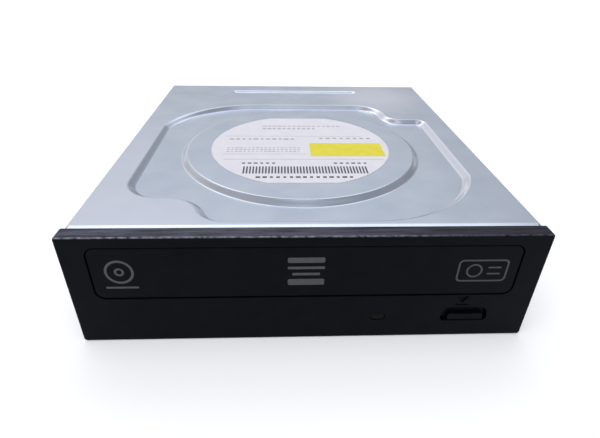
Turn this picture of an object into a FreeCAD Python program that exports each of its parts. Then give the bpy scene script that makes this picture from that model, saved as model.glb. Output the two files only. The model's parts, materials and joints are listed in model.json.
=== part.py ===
# Half-height desktop disc drive: steel case, black bezel, sliding tray,
# loading gears, tilting traverse with spindle and pickup, and two boards.
# Lengths are millimetres. The front faces -Y and +Z is up.
import FreeCAD, Part
import math
import os
import Sketcher
from FreeCAD import Vector

doc = FreeCAD.newDocument("disc_drive")
sheet = doc.addObject("Spreadsheet::Sheet", "Sizes")


class Size:
    """A length or angle that keeps its expression text beside its value."""

    def __init__(self, text, value):
        self.text = text
        self.value = value

    def __add__(self, other):
        return combine(self, "+", other)

    def __radd__(self, other):
        return combine(other, "+", self)

    def __sub__(self, other):
        return combine(self, "-", other)

    def __rsub__(self, other):
        return combine(other, "-", self)

    def __mul__(self, other):
        return combine(self, "*", other)

    def __rmul__(self, other):
        return combine(other, "*", self)

    def __truediv__(self, other):
        return combine(self, "/", other)

    def __rtruediv__(self, other):
        return combine(other, "/", self)

    def __neg__(self):
        return Size(f"(-1 * {self.text})", -self.value)


ACTIONS = {
    "+": lambda a, b: a + b,
    "-": lambda a, b: a - b,
    "*": lambda a, b: a * b,
    "/": lambda a, b: a / b,
}


def as_size(item):
    if isinstance(item, Size):
        return item
    return Size(repr(round(float(item), 9)), float(item))


def combine(left, sign, right):
    a = as_size(left)
    b = as_size(right)
    return Size(f"({a.text} {sign} {b.text})", ACTIONS[sign](a.value, b.value))


def cosine(angle):
    angle = as_size(angle)
    return Size(f"cos({angle.text})", math.cos(math.radians(angle.value)))


def sine(angle):
    angle = as_size(angle)
    return Size(f"sin({angle.text})", math.sin(math.radians(angle.value)))


def tangent(angle):
    angle = as_size(angle)
    return Size(f"tan({angle.text})", math.tan(math.radians(angle.value)))


def angle_of(rise, run):
    ratio = as_size(rise) / as_size(run)
    return Size(f"(atan({ratio.text}) / 1 deg)", math.degrees(math.atan(ratio.value)))


def angle_from_cosine(ratio):
    ratio = as_size(ratio)
    return Size(f"(acos({ratio.text}) / 1 deg)", math.degrees(math.acos(ratio.value)))


def angle_from_sine(ratio):
    ratio = as_size(ratio)
    return Size(f"(asin({ratio.text}) / 1 deg)", math.degrees(math.asin(ratio.value)))


def whole(number):
    """Number of whole steps that fit."""
    return Size(f"floor({number.text})", math.floor(number.value))


rows = []


def size(alias, value):
    """Put one driving size in the sheet and hand it back for arithmetic."""
    rows.append(alias)
    cell = f"B{len(rows)}"
    sheet.set(f"A{len(rows)}", alias)
    sheet.set(cell, str(value))
    sheet.setAlias(cell, alias)
    return Size(f"Sizes.{alias}", float(value))


def bind(thing, prop, amount):
    thing.setExpression(prop, as_size(amount).text)


# Case and bezel outside sizes.
case_width = size("case_width", 146)
case_height = size("case_height", 41)
case_depth = size("case_depth", 160)
steel = size("steel", 0.8)
bend_radius = size("bend_radius", 1)
bezel_side = size("bezel_side", 1.1)
bezel_rise = size("bezel_rise", 0.4)
bezel_depth = size("bezel_depth", 5)
bezel_wall = size("bezel_wall", 2.2)
bezel_rim = size("bezel_rim", 1.6)
bezel_edge = size("bezel_edge", 0.7)
half_case = case_width / 2
inner_half = half_case - steel
bezel_width = case_width + bezel_side * 2
half_bezel = bezel_width / 2
bezel_height = case_height + bezel_rise
full_depth = bezel_depth + case_depth

# Named clearances shared by all the pieces.
bite = size("bite", 0.5)
tooth_in = size("tooth_in", 0.3)
past = size("past", 1)
seat_gap = size("seat_gap", 0.05)
fold_gap = size("fold_gap", 0.1)
slide_gap = size("slide_gap", 0.3)
run_gap = size("run_gap", 0.05)

# Pressed field of the top cover.
spindle_back = size("spindle_back", 70)
field_margin = size("field_margin", 9.7)
field_half = half_case - field_margin
field_front = size("field_front", 8.7)
field_drop = size("field_drop", 1.8)
field_slope = size("field_slope", 2.5)
plateau_radius = size("plateau_radius", 46.8)
plateau_slope = size("plateau_slope", 2)
island_room = size("island_room", 6.4)
field_rear = spindle_back + plateau_radius + plateau_slope + island_room + field_slope
sweep_radius = size("sweep_radius", 43)
sweep_turn = size("sweep_turn", 74.15)
sweep_tail = size("sweep_tail", 1.55)
sweep_long = sweep_radius * tangent(sweep_turn / 2) + sweep_tail
sweep_inset = sweep_long * cosine(sweep_turn)
sweep_corner = field_half - sweep_inset
sweep_rise = sweep_long * sine(sweep_turn)
press_round = size("press_round", 1.6)
front_tall = size("front_tall", 15.3)
front_shelf = field_front + front_tall
front_step_inset = size("front_step_inset", 27.45)
front_step = field_half - front_step_inset
front_round = size("front_round", 14)
step_round = front_tall * 0.477
rear_tall = size("rear_tall", 23)
rear_shelf = field_rear - rear_tall
rear_step_inset = size("rear_step_inset", 18.4)
rear_step = field_half - rear_step_inset
rear_round = size("rear_round", 5)
rear_step_round = rear_tall * 0.322
rear_foot_round = rear_tall * 0.652
bead_half = size("bead_half", 36.5)
bead_long = size("bead_long", 6)
bead_margin = size("bead_margin", 9.5)
bead_front = full_depth - bead_margin - bead_long
bead_drop = size("bead_drop", 0.9)
label_margin = size("label_margin", 9.5)
label_radius = plateau_radius - label_margin
label_trim = size("label_trim", 2.3)
label_half = label_radius - label_trim
label_thick = size("label_thick", 0.12)

# Standard screw positions of a half-height drive bay.
mount_first = size("mount_first", 47.4)
mount_pitch = size("mount_pitch", 79.25)
mount_low = size("mount_low", 10)
mount_high = size("mount_high", 21.84)
mount_edge = size("mount_edge", 3.15)
mount_half = half_case - mount_edge
mount_radius = size("mount_radius", 1.25)

# Tray door, button and lamp window on the bezel.
door_side = size("door_side", 8.1)
door_half = half_bezel - door_side
door_skirt = size("door_skirt", 1.9)
door_head = size("door_head", 4)
door_high = bezel_height - door_head
door_radius = size("door_radius", 3)
door_thick = size("door_thick", 2)
door_set = size("door_set", 0.15)
button_edge = size("button_edge", 13.2)
button_wide = size("button_wide", 16.8)
button_right = half_bezel - button_edge
button_left = button_right - button_wide
button_low = size("button_low", 6.9)
button_tall = size("button_tall", 6)
button_high = button_low + button_tall
button_lean = size("button_lean", 1.5)
button_sink = size("button_sink", 1.6)
button_travel = size("button_travel", 0.5)
lamp_reach = size("lamp_reach", 20.7)
lamp_x = button_left - lamp_reach
lamp_up = size("lamp_up", 2.2)
lamp_z = button_low + lamp_up
lamp_wide = size("lamp_wide", 4.8)
lamp_high = size("lamp_high", 2.5)

# Chassis side walls, and the tray that slides between them.
wall_thick = size("wall_thick", 2)
side_room = size("side_room", 3.7)
wall_inner = inner_half - side_room - wall_thick
rear_room = size("rear_room", 7)
flange_room = size("flange_room", 1)
tray_rear = full_depth - rear_room
tray_top = size("tray_top", 29.8)
tray_plate = size("tray_plate", 4.1)
tray_low = size("tray_low", 20.3)
door_low = tray_low - door_skirt
tray_flange = size("tray_flange", 2.5)
tray_half = wall_inner - flange_room - tray_flange
flange_thick = size("flange_thick", 2.2)
skirt = size("skirt", 2)
disc_radius = size("disc_radius", 60.5)
disc_deep = size("disc_deep", 2.5)
small_radius = size("small_radius", 40.5)
small_deep = size("small_deep", 0.7)
slot_half = size("slot_half", 23)
slot_end = size("slot_end", 16)
slot_rear = tray_rear - slot_end
tray_wall = size("tray_wall", 2.2)

# Loading train: one module for the rack and both gears.
gear_module = size("gear_module", 1)
drive_teeth = size("drive_teeth", 18)
pinion_teeth = size("pinion_teeth", 12)
backlash = size("backlash", 0.24)
gear_back = size("gear_back", 20)
rack_in = size("rack_in", 7)
rack_line = tray_half - rack_in
rack_end = size("rack_end", 2.2)
deck_low = size("deck_low", 11.8)
deck_thick = size("deck_thick", 1.6)
wheel_radius = size("wheel_radius", 12)
belt_side = size("belt_side", 1.2)
motor_back = size("motor_back", 24)
motor_radius = size("motor_radius", 12)
motor_high = size("motor_high", 8.2)
post_radius = size("post_radius", 1.5)

# Chassis moulding.
clamp_room = size("clamp_room", 3.2)
wall_top = tray_top + clamp_room
chassis_front = size("chassis_front", 6.5)
boss_in = size("boss_in", 4.5)
boss_x = wall_inner - boss_in
boss_radius = size("boss_radius", 3.5)

# Traverse, drawn level and then lowered about its rear pivot.
deck_rear = size("deck_rear", 38.5)
slider_thick = size("slider_thick", 2.5)
slider_front = deck_rear + slide_gap
slider_mid = slider_front + slider_thick / 2
cam_drop = size("cam_drop", 10.14)
pivot_room = size("pivot_room", 13)
pivot_back = full_depth - pivot_room
lower_angle = angle_from_sine(cam_drop / (pivot_back - slider_mid))
pivot_z = size("pivot_z", 15)
pivot_radius = size("pivot_radius", 2)
lift_half = size("lift_half", 48)
lift_rail = size("lift_rail", 4)
lift_front = size("lift_front", 44)
lift_low = size("lift_low", 12)
lift_thick = size("lift_thick", 3)
cam_pin_x = size("cam_pin_x", 16)
cam_pin_z = size("cam_pin_z", 14.5)
cam_pin_radius = size("cam_pin_radius", 1.5)
cam_travel = size("cam_travel", 20)
damper_in = size("damper_in", 5.5)
damper_x = lift_half - damper_in
damper_ahead = size("damper_ahead", 11)
damper_front = spindle_back - damper_ahead
damper_reach = size("damper_reach", 34)
damper_rear = pivot_back - damper_reach
base_thick = size("base_thick", 2)
rod_x = size("rod_x", 28)
rod_radius = size("rod_radius", 1.5)
rod_up = size("rod_up", 2)
screw_x = size("screw_x", 36)
screw_radius = size("screw_radius", 1.25)
sled_half = size("sled_half", 20)
rotor_radius = size("rotor_radius", 13.4)
table_radius = size("table_radius", 15.5)
hub_radius = size("hub_radius", 7.4)
clamp_hole = size("clamp_hole", 16.6)

# Boards.
board_thick = size("board_thick", 1.6)
board_low = size("board_low", 2.4)
board_side = size("board_side", 9.5)
board_half = wall_inner - board_side
board_end = size("board_end", 3)
board_long = size("board_long", 68)
board_rear = full_depth - board_end
board_front = board_rear - board_long
front_board_low = size("front_board_low", 5)
front_board_thick = size("front_board_thick", 1.2)
front_board_room = size("front_board_room", 0.9)
front_board_wide = size("front_board_wide", 43.6)
front_board_right = boss_x - boss_radius - front_board_room
front_board_left = front_board_right - front_board_wide
motor_x = front_board_left - motor_radius
socket_side = size("socket_side", 3)
socket_wide = size("socket_wide", 38)
socket_right = board_half - socket_side
socket_left = socket_right - socket_wide

doc.recompute()

front = -full_depth / 2


def back(distance):
    """Y of a point that lies this far behind the bezel face."""
    return front + distance


def place(thing, x, y, z):
    for axis, amount in zip("xyz", (x, y, z)):
        bind(thing, f"Placement.Base.{axis}", amount)


def box(name, x, y, z):
    """Block between two limits on each axis."""
    thing = doc.addObject("Part::Box", name)
    for prop, limits in zip(("Length", "Width", "Height"), (x, y, z)):
        bind(thing, prop, limits[1] - as_size(limits[0]))
    place(thing, x[0], y[0], z[0])
    return thing


TURNS = {
    "X": FreeCAD.Rotation(Vector(0, 1, 0), 90),
    "Y": FreeCAD.Rotation(Vector(1, 0, 0), -90),
    "Z": FreeCAD.Rotation(),
}


def stand(thing, axis, across, span):
    """Set a round piece along an axis, from the low end of its span."""
    thing.Placement = FreeCAD.Placement(Vector(), TURNS[axis])
    bind(thing, "Height", span[1] - as_size(span[0]))
    spots = {
        "X": (span[0], across[0], across[1]),
        "Y": (across[0], span[0], across[1]),
        "Z": (across[0], across[1], span[0]),
    }
    place(thing, *spots[axis])
    return thing


def cylinder(name, radius, axis, across, span):
    thing = doc.addObject("Part::Cylinder", name)
    bind(thing, "Radius", radius)
    return stand(thing, axis, across, span)


def cone(name, low_radius, high_radius, axis, across, span):
    thing = doc.addObject("Part::Cone", name)
    bind(thing, "Radius1", low_radius)
    bind(thing, "Radius2", high_radius)
    return stand(thing, axis, across, span)


def fuse(name, *shapes):
    thing = doc.addObject("Part::MultiFuse", name)
    thing.Shapes = list(shapes)
    return thing


def cut(name, base, *tools):
    thing = doc.addObject("Part::Cut", name)
    thing.Base = base
    thing.Tool = tools[0] if len(tools) == 1 else fuse(name + "_tools", *tools)
    return thing


def group(name, *shapes):
    thing = doc.addObject("Part::Compound", name)
    thing.Links = list(shapes)
    return thing


def sided(side, inner, outer):
    """Limits of a block that is mirrored to the left where side is -1."""
    if side > 0:
        return (as_size(inner), as_size(outer))
    return (-as_size(outer), -as_size(inner))


def plane_of(body, role):
    for feature in body.Origin.OriginFeatures:
        if feature.Role == role:
            return feature


def datum(sketch, kind, where, amount):
    amount = as_size(amount)
    index = sketch.addConstraint(Sketcher.Constraint(kind, *where, amount.value))
    sketch.setExpression(f"Constraints[{index}]", amount.text)


def outline(sketch, corners):
    """Closed outline through corners (x, y) or rounded corners (x, y, radius)."""
    count = len(corners)
    points = [Vector(as_size(c[0]).value, as_size(c[1]).value, 0) for c in corners]
    ends = []
    for i, corner in enumerate(corners):
        here = points[i]
        if len(corner) == 2:
            ends.append((here, here, here))
            continue
        before = (points[i - 1] - here).normalize()
        after = (points[(i + 1) % count] - here).normalize()
        radius = as_size(corner[2]).value
        half = math.acos(max(-1, min(1, before.dot(after)))) / 2
        reach = radius / math.tan(half)
        centre = here + (before + after).normalize() * (radius / math.sin(half))
        ends.append((here + before * reach, here + after * reach, centre))
    lines = []
    for i in range(count):
        line = Part.LineSegment(ends[i][1], ends[(i + 1) % count][0])
        lines.append(sketch.addGeometry(line, False))
    for i, corner in enumerate(corners):
        before = lines[i - 1]
        after = lines[i]
        if len(corner) == 2:
            sketch.addConstraint(Sketcher.Constraint("Coincident", before, 2, after, 1))
            datum(sketch, "DistanceX", (-1, 1, after, 1), corner[0])
            datum(sketch, "DistanceY", (-1, 1, after, 1), corner[1])
            continue
        start, stop, centre = ends[i]
        into = points[i] - points[i - 1]
        left = into.cross(points[(i + 1) % count] - points[i]).z > 0
        first, last = (start, stop) if left else (stop, start)
        low = math.atan2(first.y - centre.y, first.x - centre.x)
        high = math.atan2(last.y - centre.y, last.x - centre.x)
        circle = Part.Circle(centre, Vector(0, 0, 1), as_size(corner[2]).value)
        arc = sketch.addGeometry(Part.ArcOfCircle(circle, low, high), False)
        point = sketch.addGeometry(Part.Point(points[i]), True)
        datum(sketch, "DistanceX", (-1, 1, point, 1), corner[0])
        datum(sketch, "DistanceY", (-1, 1, point, 1), corner[1])
        sketch.addConstraint(Sketcher.Constraint("PointOnObject", point, 1, before))
        sketch.addConstraint(Sketcher.Constraint("PointOnObject", point, 1, after))
        near = 1 if left else 2
        sketch.addConstraint(Sketcher.Constraint("Tangent", before, 2, arc, near))
        sketch.addConstraint(Sketcher.Constraint("Tangent", arc, 3 - near, after, 1))
        datum(sketch, "Radius", (arc,), corner[2])


def rectangle(x, y, radius=None):
    corners = [(x[0], y[0]), (x[1], y[0]), (x[1], y[1]), (x[0], y[1])]
    if radius is None:
        return corners
    return [(a, b, radius) for a, b in corners]


def ring(sketch, x, y, radius):
    centre = Vector(as_size(x).value, as_size(y).value, 0)
    circle = Part.Circle(centre, Vector(0, 0, 1), as_size(radius).value)
    index = sketch.addGeometry(circle, False)
    datum(sketch, "DistanceX", (-1, 1, index, 3), x)
    datum(sketch, "DistanceY", (-1, 1, index, 3), y)
    datum(sketch, "Radius", (index,), radius)


def new_body(name):
    return doc.addObject("PartDesign::Body", name)


def new_sketch(body, name, role, offset, *outlines):
    """Sketch on an origin plane of its body, shifted along the plane's normal."""
    sketch = body.newObject("Sketcher::SketchObject", name)
    sketch.AttachmentSupport = [(plane_of(body, role), "")]
    sketch.MapMode = "FlatFace"
    bind(sketch, "AttachmentOffset.Base.z", offset)
    for corners in outlines:
        outline(sketch, corners)
    return sketch


def pad(body, sketch, length, reverse=False):
    feature = body.newObject("PartDesign::Pad", sketch.Name + "_pad")
    feature.Profile = sketch
    bind(feature, "Length", length)
    feature.Reversed = reverse
    body.Tip = feature
    return feature


def pocket(body, sketch, length, reverse=False):
    feature = body.newObject("PartDesign::Pocket", sketch.Name + "_pocket")
    feature.Profile = sketch
    bind(feature, "Length", length)
    feature.Reversed = reverse
    body.Tip = feature
    return feature


def soften(body, name, radius, chosen):
    """Round those edges of the body's tip whose middle point is chosen."""
    doc.recompute()
    base = body.Tip
    names = []
    for number, edge in enumerate(base.Shape.Edges, 1):
        middle = edge.valueAt((edge.FirstParameter + edge.LastParameter) / 2)
        if chosen(edge, middle):
            names.append(f"Edge{number}")
    feature = body.newObject("PartDesign::Fillet", name)
    feature.Base = (base, names)
    bind(feature, "Radius", radius)
    body.Tip = feature
    return feature


def turned(name, corners, x=0, y=0):
    """Revolved body from a half profile of (radius, height) corners."""
    body = new_body(name)
    sketch = new_sketch(body, name + "_profile", "XZ_Plane", 0, corners)
    feature = body.newObject("PartDesign::Revolution", name + "_turn")
    feature.Profile = sketch
    feature.ReferenceAxis = (sketch, ["V_Axis"])
    feature.Angle = 360
    body.Tip = feature
    place(body, x, y, 0)
    return body


pieces = {}


def keep(label, thing):
    thing.Label = label
    pieces[label] = thing
    return thing


def lowered(label, thing):
    """Keep a traverse piece, turned down about the rear pivot."""
    piece = group(label, thing)
    y = back(pivot_back)
    piece.Placement = FreeCAD.Placement(Vector(), FreeCAD.Rotation(Vector(1, 0, 0), 1))
    bind(piece, "Placement.Rotation.Angle", lower_angle)
    turned_y = y * cosine(lower_angle) - pivot_z * sine(lower_angle)
    turned_z = y * sine(lower_angle) + pivot_z * cosine(lower_angle)
    place(piece, 0, y - turned_y, pivot_z - turned_z)
    return keep(label, piece)


# Steel case.
inner_top = case_height - steel
case_front = back(bezel_depth)
rear = back(full_depth)
spindle_y = back(spindle_back)


def pressed(name, z, drop, slope, corners):
    """Solid of a pressed hollow: an outline at height z, narrowing downwards."""
    sketch = doc.addObject("Sketcher::SketchObject", name + "_outline")
    outline(sketch, corners)
    bind(sketch, "Placement.Base.z", z)
    solid = doc.addObject("Part::Extrusion", name)
    solid.Base = sketch
    solid.DirMode = "Custom"
    solid.Dir = Vector(0, 0, -1)
    solid.Solid = True
    bind(solid, "LengthFwd", drop)
    bind(solid, "TaperAngle", -angle_of(slope, drop))
    return solid


def field_corners():
    """Field outline: a stepped corner at front left and rear right, sweeps elsewhere."""
    low = back(field_front)
    high = back(field_rear)
    return [
        (-field_half, back(front_shelf), front_round),
        (-front_step, back(front_shelf), step_round),
        (-front_step, low, step_round),
        (sweep_corner, low, sweep_radius),
        (field_half, low + sweep_rise),
        (field_half, back(rear_shelf), rear_round),
        (rear_step, back(rear_shelf), rear_step_round),
        (rear_step, high, rear_foot_round),
        (-sweep_corner, high, sweep_radius),
        (-field_half, high - sweep_rise),
    ]


def bead_corners():
    return rectangle((-bead_half, bead_half), (back(bead_front), back(bead_front + bead_long)))


mount_rows = (bezel_depth + mount_first, bezel_depth + mount_first + mount_pitch)
hook_rows = (size("hook_low", 9), size("hook_high", 26))
hook_tall = size("hook_tall", 7)
hook_thick = size("hook_thick", 1.2)
hook_long = size("hook_long", 8)
barb_back = size("barb_back", 9.8)
barb_long = size("barb_long", 2.2)


def is_press_rim(edge, middle):
    """Level edge of the pressed field, at the lid's top or at the field's floor."""
    level = edge.BoundBox.ZLength < 0.001
    top = abs(middle.z - case_height.value) < 0.001
    floor = abs(middle.z - case_height.value + field_drop.value) < 0.001
    beside = abs(middle.x) < field_half.value + 0.1
    ahead = back(field_front).value - 0.1 < middle.y
    behind = middle.y < back(field_rear).value + 0.1
    return level and (top or floor) and beside and ahead and behind


def make_top_cover():
    outer = [(half_case, 0), (half_case, case_height, bend_radius)]
    outer += [(-half_case, case_height, bend_radius), (-half_case, 0)]
    inner_bend = bend_radius - steel
    inner = [(-inner_half, 0), (-inner_half, inner_top, inner_bend)]
    inner += [(inner_half, inner_top, inner_bend), (inner_half, 0)]
    shell = new_body("cover_shell")
    arch = new_sketch(shell, "cover_arch", "XZ_Plane", -case_front, outer + inner)
    pad(shell, arch, case_depth, reverse=True)
    end = new_sketch(shell, "cover_end", "XZ_Plane", -rear, outer)
    pad(shell, end, steel)
    under = pressed("field_under", inner_top, field_drop, field_slope, field_corners())
    hollow = pressed("field", case_height, field_drop, field_slope, field_corners())
    bead_slope = bead_long * 0.43
    bead_under = pressed("bead_under", inner_top, bead_drop, bead_slope, bead_corners())
    bead = pressed("bead", case_height, bead_drop, bead_slope, bead_corners())
    floor_z = case_height - field_drop
    foot = plateau_radius + plateau_slope
    middle = (0, spindle_y)
    plateau = cone("plateau", foot, plateau_radius, "Z", middle, (floor_z, case_height))
    hollow_span = (floor_z - steel, inner_top)
    plateau_under = cone("plateau_under", foot, plateau_radius, "Z", middle, hollow_span)
    sheet_in = cut("cover_pressed", fuse("cover_drawn", shell, under, bead_under), hollow, bead)
    openings = [plateau_under]
    for side in (-1, 1):
        through = sided(side, inner_half - past, half_case + past)
        for row, distance in enumerate(mount_rows):
            for level, height in enumerate((mount_low, mount_high)):
                name = f"side_hole_{side + 1}_{row}_{level}"
                spot = (back(distance), height)
                openings.append(cylinder(name, mount_radius, "X", spot, through))
        for row, height in enumerate(hook_rows):
            window_y = (back(barb_back - slide_gap), back(barb_back + barb_long + slide_gap))
            window_z = (height - slide_gap, height + hook_tall + slide_gap)
            openings.append(box(f"hook_window_{side + 1}_{row}", through, window_y, window_z))
    window_x = (socket_left - window_side, socket_right + window_side)
    window_z = (-past, board_low + board_thick + socket_high + window_over)
    openings.append(box("rear_window", window_x, (rear - steel - past, rear + past), window_z))
    folded = cut("cover_folded", fuse("cover_raised", sheet_in, plateau), *openings)
    doc.recompute()
    body = new_body("cover_rounded")
    body.BaseFeature = folded
    soften(body, "press_rounding", press_round, is_press_rim)
    return body


window_side = size("window_side", 2)
window_over = size("window_over", 1)
socket_high = size("socket_high", 6.6)
standoff_radius = size("standoff_radius", 3)
standoff_in = size("standoff_in", 5)
standoff_x = board_half - standoff_in
standoff_front = size("standoff_front", 5)
standoff_rear = size("standoff_rear", 16)
standoff_rows = (board_front + standoff_front, board_rear - standoff_rear)
small_screw = size("small_screw", 0.95)
boss_front = size("boss_front", 16)
boss_end = size("boss_end", 10)
boss_rows = (boss_front, full_depth - boss_end)
case_screw = size("case_screw", 1.4)
head_radius = size("head_radius", 2.5)
lip_high = size("lip_high", 4)
lip_long = size("lip_long", 20)
lip_front = size("lip_front", 16)
lip_middle = size("lip_middle", 82)
lip_end = size("lip_end", 24)
lip_rows = (lip_front, lip_middle, full_depth - lip_end)


def spots_of(half, distances):
    """Points at both sides for each distance behind the bezel face."""
    return [(side * half, back(distance)) for distance in distances for side in (-1, 1)]


def make_bottom_cover():
    edge = inner_half - fold_gap
    plate_y = (case_front + fold_gap, rear - steel - fold_gap)
    solids = [box("bottom_plate", (-edge, edge), plate_y, (0, steel))]
    for number, distance in enumerate(lip_rows):
        for side in (-1, 1):
            lip_y = (back(distance), back(distance + lip_long))
            name = f"bottom_lip_{number}_{side + 1}"
            solids.append(box(name, sided(side, edge - steel, edge), lip_y, (0, lip_high)))
    holes = []
    for number, spot in enumerate(spots_of(standoff_x, standoff_rows)):
        height = (steel / 2, board_low)
        solids.append(cylinder(f"standoff_{number}", standoff_radius, "Z", spot, height))
        bore = (steel, board_low + past)
        holes.append(cylinder(f"standoff_bore_{number}", small_screw + run_gap, "Z", spot, bore))
    for number, spot in enumerate(spots_of(mount_half, mount_rows)):
        holes.append(cylinder(f"bottom_hole_{number}", mount_radius, "Z", spot, (-past, steel + past)))
    for number, spot in enumerate(spots_of(boss_x, boss_rows)):
        wide = head_radius + seat_gap
        narrow = case_screw + seat_gap
        holes.append(cone(f"countersink_{number}", wide, narrow, "Z", spot, (0, steel)))
    return cut("bottom_cover", fuse("bottom_formed", *solids), *holes)


screw_long = size("screw_long", 7)


def make_case_screws():
    screws = []
    for number, spot in enumerate(spots_of(boss_x, boss_rows)):
        head = cone(f"case_head_{number}", head_radius, case_screw, "Z", spot, (0, steel))
        shank = cylinder(f"case_shank_{number}", case_screw, "Z", spot, (steel, screw_long))
        screws.append(fuse(f"case_screw_{number}", head, shank))
    return group("case_screws", *screws)


def make_label():
    span = (case_height, case_height + label_thick)
    disc = cylinder("label_disc", label_radius, "Z", (0, spindle_y), span)
    reach = label_radius + past
    strip = box("label_strip", (-reach, reach), (spindle_y - label_half, spindle_y + label_half), span)
    thing = doc.addObject("Part::Common", "label_cut")
    thing.Base = disc
    thing.Tool = strip
    return thing


keep("top_cover", make_top_cover())
keep("bottom_cover", make_bottom_cover())
keep("case_screws", make_case_screws())
keep("top_label", make_label())

# Bezel with the door, the button and the lamp window.
button_round = size("button_round", 1.6)
button_shoulder = size("button_shoulder", 3)


def button_corners(inset):
    low = button_low + inset
    high = button_high - inset
    left = button_left + inset
    right = button_right - inset
    return [
        (left, low, button_round),
        (right, low, button_round),
        (right - button_lean, high, button_shoulder),
        (left + button_lean, high, button_shoulder),
    ]


def lamp_corners(inset, radius):
    x = (lamp_x - lamp_wide / 2 + inset, lamp_x + lamp_wide / 2 - inset)
    z = (lamp_z - lamp_high / 2 + inset, lamp_z + lamp_high / 2 - inset)
    return rectangle(x, z, radius)


lamp_round = lamp_high / 2 * 0.96


def make_bezel():
    body = new_body("bezel_shell")
    face = rectangle((-half_bezel, half_bezel), (0, bezel_height), bezel_edge * 1.6)
    slab = new_sketch(body, "bezel_face", "XZ_Plane", -front, face)
    pad(body, slab, bezel_depth, reverse=True)
    level = front.value
    soften(body, "bezel_rounding", bezel_edge, lambda edge, middle: abs(middle.y - level) < 0.01)
    inside_x = (bezel_rim - half_bezel, half_bezel - bezel_rim)
    inside = rectangle(inside_x, (bezel_rim, bezel_height - bezel_rim))
    hollow = new_sketch(body, "bezel_inside", "XZ_Plane", -back(bezel_depth), inside)
    pocket(body, hollow, bezel_depth - bezel_wall, reverse=True)
    mouth_x = (-door_half - slide_gap, door_half + slide_gap)
    mouth_z = (door_low - slide_gap, door_high + slide_gap)
    mouth = rectangle(mouth_x, mouth_z, door_radius + slide_gap)
    ports = [mouth, button_corners(0), lamp_corners(-fold_gap, lamp_round)]
    cuts = new_sketch(body, "bezel_ports", "XZ_Plane", -front, *ports)
    pocket(body, cuts, bezel_wall + past)
    solids = [body]
    for side in (-1, 1):
        edge = inner_half - slide_gap
        for row, height in enumerate(hook_rows):
            name = f"hook_{side + 1}_{row}"
            z = (height, height + hook_tall)
            arm_y = (back(bezel_wall - bite), back(bezel_depth + hook_long))
            solids.append(box(name + "_arm", sided(side, edge - hook_thick, edge), arm_y, z))
            barb_y = (back(barb_back), back(barb_back + barb_long))
            barb_x = sided(side, edge - hook_thick, half_case - slide_gap)
            solids.append(box(name + "_barb", barb_x, barb_y, z))
    return fuse("front_bezel", *solids)


clip_long = size("clip_long", 2)
clip_half = size("clip_half", 4)
wall_head = size("wall_head", 1)
clip_room = door_high - wall_head - tray_top
clip_up = clip_room * 0.18
clip_low = tray_top + clip_up
clip_thick = clip_room * 0.24
clip_barb = clip_room * 0.09
clip_x = size("clip_x", 45)
clip_spots = (-clip_x, as_size(0), clip_x)


def make_door():
    body = new_body("door_plate")
    face = rectangle((-door_half, door_half), (door_low, door_high), door_radius)
    sketch = new_sketch(body, "door_face", "XZ_Plane", -back(door_set), face)
    pad(body, sketch, door_thick - door_set, reverse=True)
    level = back(door_set).value
    soften(body, "door_rounding", bezel_edge * 0.6, lambda edge, middle: abs(middle.y - level) < 0.01)
    solids = [body]
    wall_back = bezel_wall + tray_wall
    for number, x in enumerate(clip_spots):
        wide = (x - clip_half, x + clip_half)
        tongue_y = (back(door_thick - bite), back(wall_back + clip_long))
        tongue_z = (clip_low, clip_low + clip_thick)
        solids.append(box(f"clip_{number}", wide, tongue_y, tongue_z))
        barb_y = (back(wall_back + seat_gap), back(wall_back + clip_long))
        barb_z = (clip_low, clip_low + clip_thick + clip_barb)
        solids.append(box(f"clip_barb_{number}", wide, barb_y, barb_z))
    return fuse("tray_door", *solids)


button_base = size("button_base", 1.2)
pad_round = size("pad_round", 0.6)
ear_wide = size("ear_wide", 0.8)
ear_tall = size("ear_tall", 0.6)
ear_back = size("ear_back", 1.4)
stem_root = size("stem_root", 1)
pad_start = size("pad_start", 3)
pad_end = size("pad_end", 1.9)
pad_tall = size("pad_tall", 2.9)
pad_left = button_left + pad_start
pad_right = button_right - pad_end
pad_high = button_low + pad_tall
stem_x = (button_left + button_right) / 2
stem_up = size("stem_up", 2.1)
stem_z = button_low + stem_up
stem_radius = size("stem_radius", 1.4)
switch_back = size("switch_back", 14.9)
plunger_out = size("plunger_out", 1.3)
flange_back = bezel_wall + button_travel + slide_gap


def make_button():
    body = new_body("button_body")
    plate = new_sketch(body, "button_plate", "XZ_Plane", -back(button_sink), button_corners(slide_gap))
    pad(body, plate, bezel_wall + button_base - button_sink, reverse=True)
    pad_face = rectangle((pad_left, pad_right), (button_low + slide_gap * 1.5, pad_high), pad_round)
    touch = new_sketch(body, "button_pad", "XZ_Plane", -back(fold_gap), pad_face)
    pad(body, touch, bezel_wall + button_base - fold_gap, reverse=True)
    ears_x = (button_left - ear_wide, button_right + ear_wide)
    ears_z = (button_low - ear_tall, button_high + ear_tall)
    ears_y = (back(bezel_wall + fold_gap), back(bezel_wall + ear_back))
    ears = box("button_ears", ears_x, ears_y, ears_z)
    reach = (back(bezel_wall + stem_root), back(switch_back - plunger_out - seat_gap))
    stem = cylinder("button_stem", stem_radius, "Y", (stem_x, stem_z), reach)
    return fuse("eject_button", body, ears, stem)


pipe_edge = size("pipe_edge", 0.3)
collar_wide = size("collar_wide", 0.8)
collar_round = size("collar_round", 1.2)
collar_long = size("collar_long", 1)
pipe_back = size("pipe_back", 8.8)


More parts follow.
